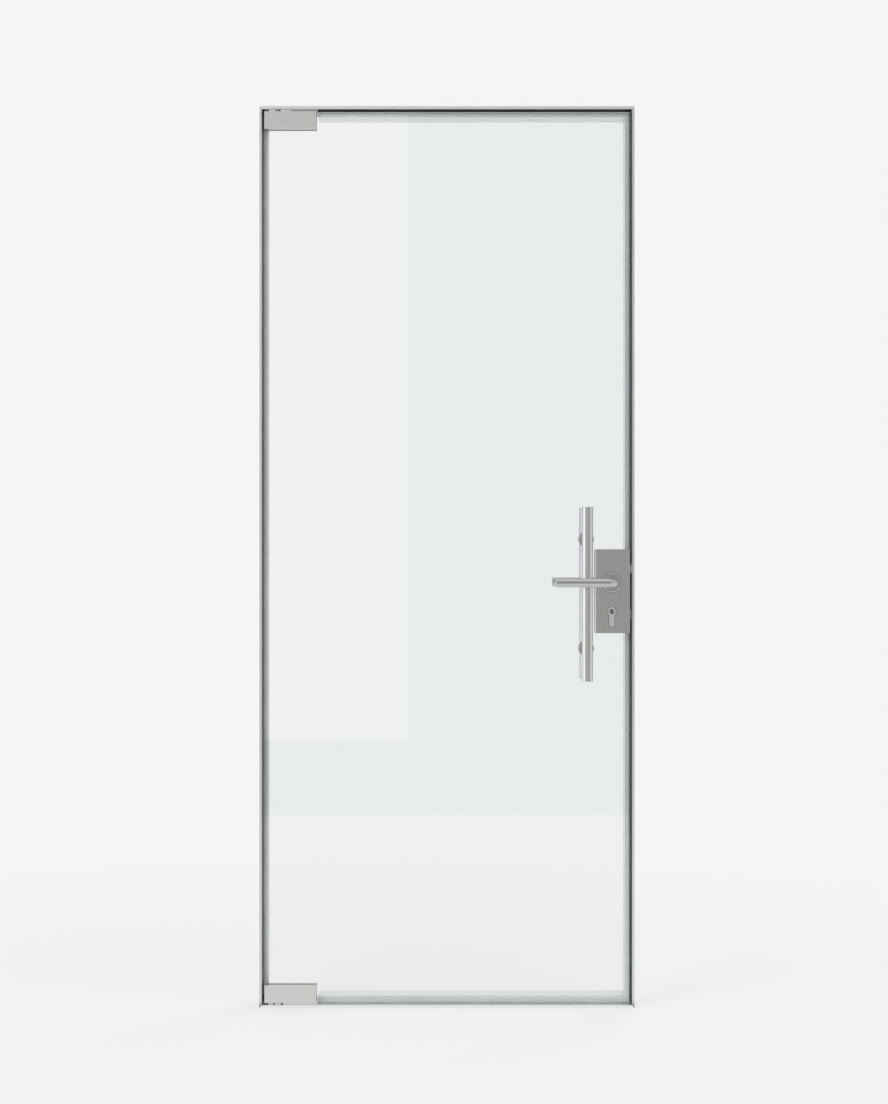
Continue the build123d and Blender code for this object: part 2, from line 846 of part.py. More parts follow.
with BuildPart() as lock_forend:
    with BuildSketch(Plane.YZ.offset(chassis_right)):
        with Locations((0, (chassis_z[0] + chassis_z[1]) / 2)):
            Rectangle(2 * chassis_half, chassis_z[1] - chassis_z[0])
        with Locations((0, latch_z)):
            Rectangle(2 * inner_half, latch_height + 2 * bolt_play, mode=Mode.SUBTRACT)
        with Locations((0, deadbolt_z)):
            Rectangle(2 * inner_half, deadbolt_height + 2 * bolt_play, mode=Mode.SUBTRACT)
    extrude(amount=forend_thickness)
    with Locations(
        Plane(origin=(case_right, 0, cylinder_screw_z), x_dir=(0, 1, 0), z_dir=(1, 0, 0))
    ):
        CounterSinkHole(
            small_screw_radius + screw_clearance,
            small_head_radius + screw_clearance,
            depth=forend_thickness,
        )

# Case covers. The back one is narrower, so that it passes the stop.
cover_rights = {"front": case_right, "back": back_cover_right}
for face_name, way in (("front", -1), ("back", 1)):
    cover_right = cover_rights[face_name]
    face_y = way * case_half_thickness
    rim = way * pad_outer
    inner_face = face_y - way * case_face_wall
    with BuildPart() as cover:
        slab(min(rim, face_y), max(rim, face_y), case_left, case_bottom, cover_right, case_top)
        outer_face = cover.faces().sort_by(Axis.Y)[0 if way < 0 else -1]
        hinge_side_edge = outer_face.edges().filter_by(Axis.Z).sort_by(Axis.X)[0]
        chamfer(hinge_side_edge, case_bevel_depth, case_bevel_width, reference=outer_face)
        fillet(
            cover.edges()
            .filter_by(Axis.Z)
            .filter_by_position(Axis.X, cover_right - edge_tolerance, cover_right + edge_tolerance)
            .sort_by(Axis.Y)[0 if way < 0 else -1],
            case_fillet,
        )
        with BuildSketch(xz_plane(max(rim, inner_face))):
            box_corners(
                case_left + case_wall,
                case_bottom + case_wall,
                cover_right - case_wall,
                case_top - case_wall,
            )
        extrude(amount=abs(inner_face - rim), mode=Mode.SUBTRACT)
        boss_end = way * (chassis_half + fit_clearance)
        with BuildSketch(xz_plane(max(boss_end, inner_face))):
            with Locations(*case_screw_points):
                Circle(case_boss_radius)
        extrude(amount=abs(inner_face - boss_end))
        with BuildSketch(xz_plane(max(face_y, 0))):
            with Locations((spindle_x, spindle_height)):
                Circle(lever_radius + rose_bore_clearance)
        extrude(amount=case_half_thickness, mode=Mode.SUBTRACT)
        cut_profile(max(face_y, 0), case_half_thickness)
        if face_name == "front":
            screw_depth = case_half_thickness - case_face_wall
            with BuildSketch(xz_plane(0)):
                with Locations(*case_screw_points):
                    Circle(case_screw_radius + screw_clearance)
            extrude(amount=screw_depth, mode=Mode.SUBTRACT)
        else:
            for x, z in case_screw_points:
                seat = Plane(origin=(x, face_y, z), x_dir=(1, 0, 0), z_dir=(0, 1, 0))
                with Locations(seat):
                    CounterSinkHole(
                        case_screw_radius + screw_clearance,
                        small_head_radius + screw_clearance,
                        depth=case_half_thickness,
                    )
    cover.part.label = f"lock_{face_name}_cover"
    export_step(cover.part, f"parts/lock_{face_name}_cover.step")

with BuildPart() as lock_pads:
    for y, pad_right in ((-glass_half, case_right), (pad_outer, back_cover_right)):
        with BuildSketch(xz_plane(y)):
            box_corners(case_left, case_bottom, pad_right, case_top)
            box_corners(
                lock_notch_left,
                lock_notch_z[0],
                2 * leaf_right,
                lock_notch_z[1],
                mode=Mode.SUBTRACT,
            )
        extrude(amount=pad_thickness)

with BuildPart() as lock_case_screws:
    for x, z in case_screw_points:
        seat = Plane(origin=(x, case_half_thickness, z), x_dir=(1, 0, 0), z_dir=(0, 1, 0))
        countersunk_screw(
            seat,
            case_screw_radius,
            small_head_radius,
            small_head_height,
            2 * case_half_thickness - case_face_wall - case_screw_end,
        )

# Roses, levers and the parts that turn with them
for face_name, way in (("front", -1), ("back", 1)):
    base = Plane(
        origin=(spindle_x, way * case_half_thickness, spindle_height),
        x_dir=(1, 0, 0),
        z_dir=(0, way, 0),
    )
    with BuildPart() as rose:
        with BuildSketch(base):
            Circle(rose_radius)
        extrude(amount=rose_thickness)
        rose_edges = rose.edges().filter_by(GeomType.CIRCLE).sort_by(Axis.Y)
        fillet(rose_edges[0 if way < 0 else -1], rose_fillet)
        with BuildSketch(base):
            Circle(lever_radius + rose_bore_clearance)
        extrude(amount=rose_thickness, mode=Mode.SUBTRACT)
    rose.part.label = f"rose_{face_name}"
    export_step(rose.part, f"parts/rose_{face_name}.step")

    neck_y = way * (case_half_thickness - case_face_wall + lever_play)
    grip_y = way * lever_centreline
    grip_end = spindle_x + lever_radius - lever_length
    with BuildPart() as lever:
        with BuildLine():
            FilletPolyline(
                (spindle_x, neck_y, spindle_height),
                (spindle_x, grip_y, spindle_height),
                (grip_end, grip_y, spindle_height),
                radius=lever_elbow,
            )
        with BuildSketch(
            Plane(origin=(spindle_x, neck_y, spindle_height), x_dir=(1, 0, 0), z_dir=(0, way, 0))
        ):
            Circle(lever_radius)
        sweep()
        grip_edges = lever.edges().filter_by(GeomType.CIRCLE).sort_by(Axis.X)
        chamfer(grip_edges[0], lever_end_chamfer)
        with BuildSketch(
            Plane(origin=(spindle_x, neck_y, spindle_height), x_dir=(1, 0, 0), z_dir=(0, way, 0))
        ):
            Rectangle(spindle_size + 2 * spindle_clearance, spindle_size + 2 * spindle_clearance)
        extrude(
            amount=spindle_length / 2 - abs(neck_y) + fit_clearance, mode=Mode.SUBTRACT
        )
        grub_y = way * (case_half_thickness + rose_thickness + grub_from_rose)
        with BuildSketch(
            Plane(
                origin=(spindle_x, grub_y, spindle_height),
                x_dir=(1, 0, 0),
                z_dir=(0, 0, -1),
            )
        ):
            Circle(grub_radius + screw_clearance)
        extrude(amount=2 * lever_radius, mode=Mode.SUBTRACT)
    lever.part.label = f"lever_{face_name}"
    export_step(lever.part, f"parts/lever_{face_name}.step")

with BuildPart() as spindle:
    with BuildSketch(
        Plane(origin=(spindle_x, 0, spindle_height), x_dir=(1, 0, 0), z_dir=(0, 1, 0))
    ):
        Rectangle(spindle_size, spindle_size)
    extrude(amount=spindle_length / 2, both=True)
    chamfer(spindle.faces().filter_by(Axis.Y).edges(), spindle_chamfer)

with BuildPart() as follower:
    with BuildSketch(xz_plane(0)):
        with Locations((spindle_x, spindle_height)):
            Circle(follower_radius)
        with Locations((spindle_x, spindle_height + follower_arm / 2)):
            Rectangle(2 * follower_tip, follower_arm)
        with Locations((spindle_x, spindle_height + follower_arm)):
            Circle(follower_tip)
    extrude(amount=bolt_half, both=True)
    with BuildSketch(xz_plane(0)):
        with Locations((spindle_x, spindle_height)):
            Circle(journal_radius)
    extrude(amount=chassis_half, both=True)
    with BuildSketch(xz_plane(0)):
        with Locations((spindle_x, spindle_height)):
            Rectangle(
                spindle_size + 2 * spindle_clearance,
                spindle_size + 2 * spindle_clearance,
            )
    extrude(amount=2 * chassis_half, both=True, mode=Mode.SUBTRACT)

with BuildPart() as lever_grub_screws:
    for way in (-1, 1):
        grub_y = way * (case_half_thickness + rose_thickness + grub_from_rose)
        tip_z = spindle_height - spindle_size / 2 - spindle_clearance
        with BuildSketch(
            Plane(origin=(spindle_x, grub_y, tip_z), x_dir=(1, 0, 0), z_dir=(0, 0, -1))
        ):
            Circle(grub_radius)
        extrude(amount=grub_length)
        with BuildSketch(
            Plane(
                origin=(spindle_x, grub_y, tip_z - grub_length), x_dir=(1, 0, 0), z_dir=(0, 0, 1)
            )
        ):
            RegularPolygon(grub_radius / 2, 6)
        extrude(amount=socket_depth, mode=Mode.SUBTRACT)

# Return springs, a coil round each journal in the case covers
spring_pitch = 2 * spring_wire + fit_clearance
with BuildPart() as return_springs:
    for way in (-1, 1):
        for turn in range(2):
            centre_y = way * (chassis_half + spring_wire + fit_clearance + turn * spring_pitch)
            ring = Plane(
                origin=(spindle_x + spring_radius, centre_y, spindle_height),
                x_dir=(1, 0, 0),
                z_dir=(0, 0, 1),
            )
            with BuildSketch(ring):
                Circle(spring_wire)
            revolve(
                axis=Axis((spindle_x, 0, spindle_height), (0, 1, 0)),
                revolution_arc=360,
            )

# Latch, with its bevel towards the back, and the lug that the follower's arm pushes
latch_tip = case_right + latch_projection
latch_back = case_right - latch_body_length
lug_face = spindle_x - follower_tip - arm_gap
with BuildPart() as latch_bolt:
    with BuildSketch(Plane.XY.offset(latch_z - latch_height / 2)):
        Polygon(
            (latch_back, -bolt_half),
            (latch_tip, -bolt_half),
            (latch_tip, -bolt_half + latch_flat),
            (latch_tip - latch_bevel, bolt_half),
            (latch_back, bolt_half),
            align=None,
        )
    extrude(amount=latch_height)
    slab(
        -bolt_half,
        bolt_half,
        lug_face - latch_lug_width,
        latch_z - latch_tail_height / 2,
        latch_back,
        latch_z + latch_tail_height / 2,
    )
    slab(
        -bolt_half,
        bolt_half,
        lug_face - latch_lug_width,
        spindle_height + follower_radius + 2 * arm_gap,
        lug_face,
        latch_z,
    )

# Deadbolt, resting withdrawn with its nose just out of the forend
deadbolt_nose = case_right + deadbolt_rest
deadbolt_back = deadbolt_nose - deadbolt_length
tail_bottom = cylinder_z + cylinder_radius + 2 * profile_clearance + tail_clearance
with BuildPart() as deadbolt:
    slab(
        -bolt_half,
        bolt_half,
        deadbolt_back,
        deadbolt_z - deadbolt_height / 2,
        deadbolt_nose,
        deadbolt_z + deadbolt_height / 2,
    )
    chamfer(deadbolt.faces().sort_by(Axis.X)[-1].edges(), deadbolt_chamfer)
    slab(
        -bolt_half,
        bolt_half,
        deadbolt_back,
        deadbolt_z,
        deadbolt_back + deadbolt_tail,
        tail_bottom + deadbolt_tail,
    )
    slab(
        -bolt_half,
        bolt_half,
        deadbolt_back - deadbolt_tail_length,
        tail_bottom,
        deadbolt_back + deadbolt_tail,
        tail_bottom + deadbolt_tail,
    )

# Profile cylinder with a plug at each end and the cam between them
with BuildPart() as cylinder_body:
    with BuildSketch(xz_plane(0)):
        profile_outline(0)
    extrude(amount=cylinder_half_length, both=True)
    with BuildSketch(xz_plane(0)):
        with Locations((spindle_x, cylinder_z)):
            Circle(plug_radius + running_clearance)
    extrude(amount=cylinder_half_length, both=True, mode=Mode.SUBTRACT)
    bridge_top = cylinder_z + cylinder_radius - cylinder_height + bridge_height
    slot_top = cylinder_z + 2 * cylinder_radius
    with BuildSketch(xz_plane(0)):
        box_corners(spindle_x - frame_depth, bridge_top, spindle_x + frame_depth, slot_top)
    extrude(amount=cam_gap, both=True, mode=Mode.SUBTRACT)
    with BuildSketch(
        Plane(
            origin=(spindle_x + cylinder_leg, 0, cylinder_screw_z),
            x_dir=(0, 1, 0),
            z_dir=(1, 0, 0),
        )
    ):
        Circle(small_screw_radius + screw_clearance)
    extrude(amount=-2 * cylinder_leg, mode=Mode.SUBTRACT)

with BuildPart() as key_plugs:
    for way in (-1, 1):
        outer_y = way * (cylinder_half_length - fit_clearance)
        plug_plane = Plane(
            origin=(spindle_x, outer_y, cylinder_z), x_dir=(1, 0, 0), z_dir=(0, -way, 0)
        )
        plug_length = cylinder_half_length - fit_clearance - cam_gap
        with BuildSketch(plug_plane):
            Circle(plug_radius)
        extrude(amount=plug_length)
        with BuildSketch(plug_plane):
            Rectangle(keyway_width, keyway_height)
        extrude(amount=keyway_depth, mode=Mode.SUBTRACT)

with BuildPart() as lock_cam:
    with BuildSketch(xz_plane(0)):
        with Locations((spindle_x, cylinder_z)):
            Circle(plug_radius)
    extrude(amount=cam_gap, both=True)
    with BuildSketch(xz_plane(0)):
        with Locations((spindle_x, cylinder_z - (cam_radius - cam_width / 2) / 2)):
            Rectangle(cam_width, cam_radius - cam_width / 2)
        with Locations((spindle_x, cylinder_z - cam_radius + cam_width / 2)):
            Circle(cam_width / 2)
    extrude(amount=cam_thickness / 2, both=True)

with BuildPart() as cylinder_screw:
    countersunk_screw(
        Plane(origin=(case_right, 0, cylinder_screw_z), x_dir=(0, 1, 0), z_dir=(1, 0, 0)),
        small_screw_radius,
        small_head_radius,
        small_head_height,
        case_right - spindle_x,
    )

# Strike plate, let into the lock jamb with keeps for latch and bolt
jamb_wall = right - jamb_face
strike_top = latch_z + latch_height / 2 + strike_margin
strike_bottom = deadbolt_z - deadbolt_height / 2 - strike_margin
strike_y = -strike_front + strike_width / 2
strike_z = (strike_top + strike_bottom) / 2
strike_screw_z = (strike_bottom + strike_margin / 2, strike_top - strike_margin / 2)
keeps = ((latch_z, latch_height), (deadbolt_z, deadbolt_height))


def cut_keeps(x_from, depth):
    with BuildSketch(Plane.YZ.offset(x_from)) as keep:
        for height, opening in keeps:
            with Locations((0, height)):
                Rectangle(bolt_thickness + 2 * keep_clearance, opening + 2 * keep_clearance)
    extrude(keep.sketch, amount=depth, mode=Mode.SUBTRACT)


strike_seats = [
    Plane(origin=(jamb_wall, strike_y, z), x_dir=(0, 1, 0), z_dir=(-1, 0, 0))
    for z in strike_screw_z
]
with BuildPart() as strike_plate:
    with BuildSketch(Plane.YZ.offset(jamb_wall)):
        with Locations((strike_y, strike_z)):
            RectangleRounded(strike_width, strike_top - strike_bottom, strike_corner_radius)
    extrude(amount=strike_thickness)
    cut_keeps(jamb_wall, strike_thickness)
    for seat in strike_seats:
        with Locations(seat):
            CounterSinkHole(
                small_screw_radius + screw_clearance,
                small_head_radius + screw_clearance,
                depth=strike_thickness,
            )

with frame_jamb_lock:
    with BuildSketch(Plane.YZ.offset(jamb_wall)) as recess:
        with Locations((strike_y, strike_z)):
            RectangleRounded(
                strike_width + fit_clearance,
                strike_top - strike_bottom + fit_clearance,
                strike_corner_radius,
            )
    extrude(recess.sketch, amount=strike_thickness, mode=Mode.SUBTRACT)
    cut_keeps(jamb_wall, jamb_face)
    for seat in strike_seats:
        with BuildSketch(seat) as bore:
            Circle(small_screw_radius + screw_clearance)
        extrude(bore.sketch, amount=-jamb_face, mode=Mode.SUBTRACT)

with BuildPart() as strike_screws:
    for seat in strike_seats:
        countersunk_screw(
            seat,
            small_screw_radius,
            small_head_radius,
            small_head_height,
            screw_length(jamb_face),
        )

# Pull bars, back to back through the glass
for face_name, way in (("front", -1), ("back", 1)):
    with BuildPart() as pull_bar:
        with BuildSketch(Plane.XY.offset(pull_centre_height)):
            with Locations((pull_x, way * pull_centreline)):
                Circle(pull_radius)
                Circle(pull_radius - pull_wall, mode=Mode.SUBTRACT)
        extrude(amount=pull_length / 2 - cap_thickness, both=True)
    pull_bar.part.label = f"pull_bar_{face_name}"
    export_step(pull_bar.part, f"parts/pull_bar_{face_name}.step")

with BuildPart() as pull_end_caps:
    for way in (-1, 1):
        for up in (-1, 1):
            end_z = pull_centre_height + up * pull_length / 2
            with BuildSketch(Plane.XY.offset(end_z)):
                with Locations((pull_x, way * pull_centreline)):
                    Circle(pull_radius)
            extrude(amount=-up * cap_thickness)
            with BuildSketch(Plane.XY.offset(end_z - up * cap_thickness)):
                with Locations((pull_x, way * pull_centreline)):
                    Circle(pull_radius - pull_wall - fit_clearance)
            extrude(amount=-up * cap_plug)
    cap_levels = pull_end_caps.edges().filter_by(GeomType.CIRCLE).group_by(Axis.Z)
    chamfer([*cap_levels[0], *cap_levels[-1]], cap_chamfer)


def pull_places():
    """Each post's foot on the glass, as a plane whose normal leaves the glass."""
    return [
        (
            Plane(
                origin=(pull_x, way * glass_half, height), x_dir=(1, 0, 0), z_dir=(0, way, 0)
            ),
            way,
        )
        for way in (-1, 1)
        for height in post_heights
    ]


with BuildPart() as pull_posts:
    for foot, way in pull_places():
        with BuildSketch(foot.offset(flange_thickness)):
            Circle(post_radius)
        extrude(amount=pull_centreline - glass_half - flange_thickness)
        with BuildSketch(foot.offset(flange_thickness)):
            Circle(stud_radius + screw_clearance)
        extrude(amount=stud_reach, mode=Mode.SUBTRACT)
    for way in (-1, 1):
        with BuildSketch(Plane.XY.offset(pull_centre_height)):
            with Locations((pull_x, way * pull_centreline)):
                Circle(pull_radius + running_clearance)
        extrude(amount=pull_length / 2, both=True, mode=Mode.SUBTRACT)

with BuildPart() as pull_rosettes:
    for foot, way in pull_places():
        with BuildSketch(foot.offset(flange_thickness)):
            Circle(rosette_radius)
            Circle(post_radius + running_clearance, mode=Mode.SUBTRACT)
        extrude(amount=rosette_thickness)
    rims = pull_rosettes.edges().filter_by(GeomType.CIRCLE)
    chamfer(
        [
            edge
            for edge in rims
            if edge.radius > (post_radius + rosette_radius) / 2
            and abs(edge.center().Y) > glass_half + flange_thickness + rosette_thickness / 2
        ],
        rosette_chamfer,
    )

with BuildPart() as pull_bushes:
    for foot, way in pull_places():
        with BuildSketch(foot):
            Circle(flange_radius)
        extrude(amount=flange_thickness)
        with BuildSketch(foot):
            Circle(pull_bore_radius - fit_clearance)
        extrude(amount=-(glass_half - fit_clearance))
        with BuildSketch(foot.offset(flange_thickness)):
            Circle(stud_radius + screw_clearance)
        extrude(amount=-2 * glass_half, mode=Mode.SUBTRACT)

with BuildPart() as pull_studs:
    for height in post_heights:
        with BuildSketch(xz_plane(0)):
            with Locations((pull_x, height)):
                Circle(stud_radius)
        extrude(amount=glass_half + stud_reach - fit_clearance, both=True)

frame_jamb_hinge.part.label = "frame_jamb_hinge"
export_step(frame_jamb_hinge.part, "parts/frame_jamb_hinge.step")
frame_jamb_lock.part.label = "frame_jamb_lock"
export_step(frame_jamb_lock.part, "parts/frame_jamb_lock.step")
frame_header.part.label = "frame_header"
export_step(frame_header.part, "parts/frame_header.step")
frame_sill.part.label = "frame_sill"
export_step(frame_sill.part, "parts/frame_sill.step")
corner_cleats.part.label = "corner_cleats"
export_step(corner_cleats.part, "parts/corner_cleats.step")
thrust_washer.part.label = "thrust_washer"
export_step(thrust_washer.part, "parts/thrust_washer.step")
pivot_screws.part.label = "pivot_screws"
export_step(pivot_screws.part, "parts/pivot_screws.step")
strike_plate.part.label = "strike_plate"
export_step(strike_plate.part, "parts/strike_plate.step")
strike_screws.part.label = "strike_screws"
export_step(strike_screws.part, "parts/strike_screws.step")
glass_leaf.part.label = "glass_leaf"
export_step(glass_leaf.part, "parts/glass_leaf.step")
patch_pads.part.label = "patch_pads"
export_step(patch_pads.part, "parts/patch_pads.step")
patch_screws.part.label = "patch_screws"
export_step(patch_screws.part, "parts/patch_screws.step")
lock_chassis.part.label = "lock_chassis"
export_step(lock_chassis.part, "parts/lock_chassis.step")
lock_forend.part.label = "lock_forend"
export_step(lock_forend.part, "parts/lock_forend.step")
lock_pads.part.label = "lock_pads"
export_step(lock_pads.part, "parts/lock_pads.step")
lock_case_screws.part.label = "lock_case_screws"
export_step(lock_case_screws.part, "parts/lock_case_screws.step")
spindle.part.label = "spindle"
export_step(spindle.part, "parts/spindle.step")
follower.part.label = "follower"
export_step(follower.part, "parts/follower.step")
lever_grub_screws.part.label = "lever_grub_screws"
export_step(lever_grub_screws.part, "parts/lever_grub_screws.step")
return_springs.part.label = "return_springs"
export_step(return_springs.part, "parts/return_springs.step")
latch_bolt.part.label = "latch_bolt"
export_step(latch_bolt.part, "parts/latch_bolt.step")
deadbolt.part.label = "deadbolt"
export_step(deadbolt.part, "parts/deadbolt.step")
cylinder_body.part.label = "cylinder_body"
export_step(cylinder_body.part, "parts/cylinder_body.step")
key_plugs.part.label = "key_plugs"
export_step(key_plugs.part, "parts/key_plugs.step")
lock_cam.part.label = "lock_cam"
export_step(lock_cam.part, "parts/lock_cam.step")
cylinder_screw.part.label = "cylinder_screw"
export_step(cylinder_screw.part, "parts/cylinder_screw.step")
pull_end_caps.part.label = "pull_end_caps"
export_step(pull_end_caps.part, "parts/pull_end_caps.step")
pull_posts.part.label = "pull_posts"
export_step(pull_posts.part, "parts/pull_posts.step")
pull_rosettes.part.label = "pull_rosettes"
export_step(pull_rosettes.part, "parts/pull_rosettes.step")
pull_bushes.part.label = "pull_bushes"
export_step(pull_bushes.part, "parts/pull_bushes.step")
pull_studs.part.label = "pull_studs"
export_step(pull_studs.part, "parts/pull_studs.step")
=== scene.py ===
"""Finishes, stage and camera for an interior glass door with its frame."""
import json
from math import radians

import bmesh
import bpy
from bpy.props import FloatProperty, FloatVectorProperty, PointerProperty
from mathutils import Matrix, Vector


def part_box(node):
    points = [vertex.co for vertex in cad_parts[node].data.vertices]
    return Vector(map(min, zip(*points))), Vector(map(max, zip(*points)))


bl_info = {
    "name": "Glass Door Finishes",
    "version": (1, 0, 0),
    "blender": (4, 5, 0),
    "location": "3D View > Sidebar > Glass Door",
    "description": "Gives a glass door and its frame their finishes, a stage and a camera",
    "category": "Object",
}

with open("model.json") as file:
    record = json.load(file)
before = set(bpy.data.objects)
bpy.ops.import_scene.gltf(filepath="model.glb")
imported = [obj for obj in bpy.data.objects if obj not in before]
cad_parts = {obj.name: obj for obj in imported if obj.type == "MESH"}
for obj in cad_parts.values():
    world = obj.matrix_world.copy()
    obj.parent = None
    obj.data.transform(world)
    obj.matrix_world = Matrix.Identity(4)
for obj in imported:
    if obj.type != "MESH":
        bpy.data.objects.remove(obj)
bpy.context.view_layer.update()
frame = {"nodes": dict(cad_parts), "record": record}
nodes = frame["nodes"]
SLOT_COLOURS = {m["slot"]: m["base_color"][:3] for m in frame["record"]["materials"]}
NODE_SLOTS = {p["node"]: p["material_slot"] for p in frame["record"]["subparts"]}

PATCH_ENDS = ("top", "bottom")
FACES = ("front", "back")
MILLIMETRE = 0.001
# Colour of painted shade, in the frame's gaps and in the keyway
PAINTED_SHADE = (0.012, 0.012, 0.011)
WHITE = (1.0, 1.0, 1.0)

# Lock
# The keyway's inside is painted dark on the plugs, as painted shade
KEYWAY = (1.36 * MILLIMETRE, 5.06 * MILLIMETRE)    # half its width and height
KEYWAY_END = 0.3 * MILLIMETRE                      # from the keyway to the plugs' faces
LEG_WIDTH = 12.6 * MILLIMETRE                      # of the cylinder
# Painted shadow round the cylinder and the rose on the lock cover
SHADOW_RIM_WIDTH = 1.7 * MILLIMETRE                       # of the painted shadow rims on the cover
SHADOW_RIM_TONE = 0.12
SLOT_SHADE_ROUGHNESS = 0.4                              # more than the metal's own

# Metal
ALONG, ACROSS = 14.0, 1500.0        # scale of scratches along and across the brushing
BRUSH_ALONG = {
    "x": (ALONG, ACROSS, ACROSS),
    "y": (ACROSS, ALONG, ACROSS),
    "z": (ACROSS, ACROSS, ALONG),
}
FINE_RELIEF = 0.1 * MILLIMETRE      # height of scratches and drawing lines
RINGS_PER_METRE = 2600.0            # left by the lathe
# Painted shade in narrow gaps, from ambient occlusion
GAP_DEPTH = 20.0 * MILLIMETRE       # how far round a gap is looked at
GAP_SAMPLES = 8
GAP_DARKNESS = 2.0
HALF_MIRROR = 0.55                  # metallic share of an anodised skin
CLEAR_SKIN = 0.6                    # weight of the clear coat on it
CLEAR_SKIN_ROUGHNESS = 0.12

# Glass
HEAD_ON_MIRROR = 0.043    # what a clear face mirrors of light that meets it head on
GRAZING_POWER = 5.0       # how late that grows towards a slant
GLASS_IOR = 1.52
EDGE_CLARITY = 0.35
SIDE_ON = 0.5             # a face whose normal has less than this share along an axis

# Stage
FLOOR_HALF = 40.0
FLOOR_LIGHTNESS = 0.8
SHADOW_NEAR, SHADOW_FAR = 0.9, 2.6    # where the floor's shadows start and end to fade
SHADOW_VEIL = 0.72                    # share of plain colour over them near the door
CEILING_HEIGHT = 5.0
LAMP_SIZE = 2.5
SENSOR_WIDTH = 36.0

# Sockets of a Mix node that mixes colours
MIX_FIRST, MIX_SECOND, MIX_RESULT = 6, 7, 2


def colour(name, description, default):
    """A colour that a user can change."""
    return FloatVectorProperty(
        name=name,
        description=description,
        default=default,
        subtype="COLOR",
        size=3,
        min=0.0,
        max=1.0,
    )


def grey(name, description, level):
    """A neutral colour that a user can change."""
    return colour(name, description, (level, level, level))


def share(name, description, default):
    """A factor from 0 to 1."""
    return FloatProperty(
        name=name, description=description, default=default, min=0.0, max=1.0, subtype="FACTOR"
    )


def length(name, description, default):
    """A distance in metres."""
    return FloatProperty(name=name, description=description, default=default, unit="LENGTH")


class FrameFinish(bpy.types.PropertyGroup):
    """Colours of the frame, its stops and its gaskets."""

    section: colour("Section", "Satin anodised colour of the frame", SLOT_COLOURS["frame_metal"])
    sill: colour("Sill", "Pale anodised colour of the sill", (0.90, 0.91, 0.90))
    stop: colour("Stop", "Colour of the stop strips", (0.78, 0.79, 0.78))
    gasket: grey("Gasket", "Colour of the dusty rubber", 0.15)
    seal: colour("Seal", "Colour of the seal on the hinge side", SLOT_COLOURS["seal_grey"])
    sill_seal: colour("Sill seal", "Colour of the pale seal over the sill", (0.92, 0.93, 0.92))
    roughness: share("Roughness", "Roughness of the anodised metal", 0.36)


class GlassFinish(bpy.types.PropertyGroup):
    """The clear glass."""

    tint: colour("Tint", "What one crossing of the leaf lets through", (0.940, 0.966, 0.983))
    edge: colour("Edge", "Colour of the leaf's edges", (0.30, 0.44, 0.40))
    # Painted light: the bottom edge gets a pale colour for the light the pale sill throws on it
    bottom_edge: colour("Bottom edge", "Edge that the pale sill lights", (0.86, 0.90, 0.89))
    sheen: colour("Sheen", "Tone of what its faces mirror", (1.0, 0.89, 0.80))


class HardwareFinish(bpy.types.PropertyGroup):
    """Colours of the fittings."""

    patch: colour("Patch", "Satin steel of the patch covers", SLOT_COLOURS["patch_steel"])
    lock: colour("Lock case", "Satin steel of the lock covers", (0.79, 0.80, 0.78))
    lever: colour("Lever", "Satin steel of the levers", (0.62, 0.63, 0.61))
    pull: colour("Pull", "Satin steel of the pull bars", SLOT_COLOURS["pull_steel"])
    post: colour("Posts", "Satin steel of the bars' posts and rosettes", (0.42, 0.43, 0.42))
    cylinder: colour("Cylinder", "Satin nickel of the cylinder", (0.61, 0.62, 0.61))
    roughness: share("Roughness", "Roughness of the satin steel", 0.27)


class StageSetup(bpy.types.PropertyGroup):
    """Background, floor, mirrored room and camera."""

    background: grey("Background", "Colour behind the door", 0.913)
    light_wall: grey("Light wall", "Light part of the wall that the glass mirrors", 0.92)
    dark_wall: grey("Dark wall", "The rest of that wall", 0.31)
    side_glow: grey("Side glow", "The pale side of the room that the metal mirrors", 1.0)
    near_floor: grey("Near floor", "Floor that the glass mirrors", 0.86)
    ambient: grey("Ambient", "Soft light all round", 0.62)
    mirrored_ambient: grey("Mirrored ambient", "What the metal mirrors beyond the room", 0.55)
    floor_reach: length("Floor reach", "How far the pale floor goes before the glass", 3.5)
    wall_distance: length("Wall distance", "From the glass to the wall behind the camera", 6.8)
    wall_start: length("Wall start", "Where the light part of the wall starts", -1.6)
    wall_edge: length("Wall edge", "Where the light part of the wall ends", -0.211)
    room_side: length("Room side", "From the middle of the door to each side of the room", 5.5)
    camera_side: length("Camera side", "The camera's place across the door", -0.0067)
    camera_distance: length("Camera distance", "From the camera to the glass", 4.8)
    camera_height: length("Camera height", "The camera's height over the floor", 1.069)
    lens: FloatProperty(
        name="Lens", description="Focal length in millimetres", default=66.6, min=1.0
    )


class Socket:
    """A shader output that takes part in Python arithmetic."""

    def __init__(self, graph, output):
        self.graph = graph
        self.output = output

    def calculate(self, operation, first, second=0.0):
        return self.graph.add("ShaderNodeMath", {"operation": operation}, {0: first, 1: second})

    def __add__(self, other):
        return self.calculate("ADD", self, other)

    def __sub__(self, other):
        return self.calculate("SUBTRACT", self, other)

    def __rsub__(self, other):
        return self.calculate("SUBTRACT", other, self)

    def __mul__(self, other):
        return self.calculate("MULTIPLY", self, other)

    def __pow__(self, other):
        return self.calculate("POWER", self, other)

    def __abs__(self):
        return self.calculate("ABSOLUTE", self)

    def larger(self, other):
        return self.calculate("MAXIMUM", self, other)

    def smaller(self, other):
        return self.calculate("MINIMUM", self, other)

    def root(self):
        return self.calculate("SQRT", self)

    def below(self, other):
        return self.calculate("LESS_THAN", self, other)


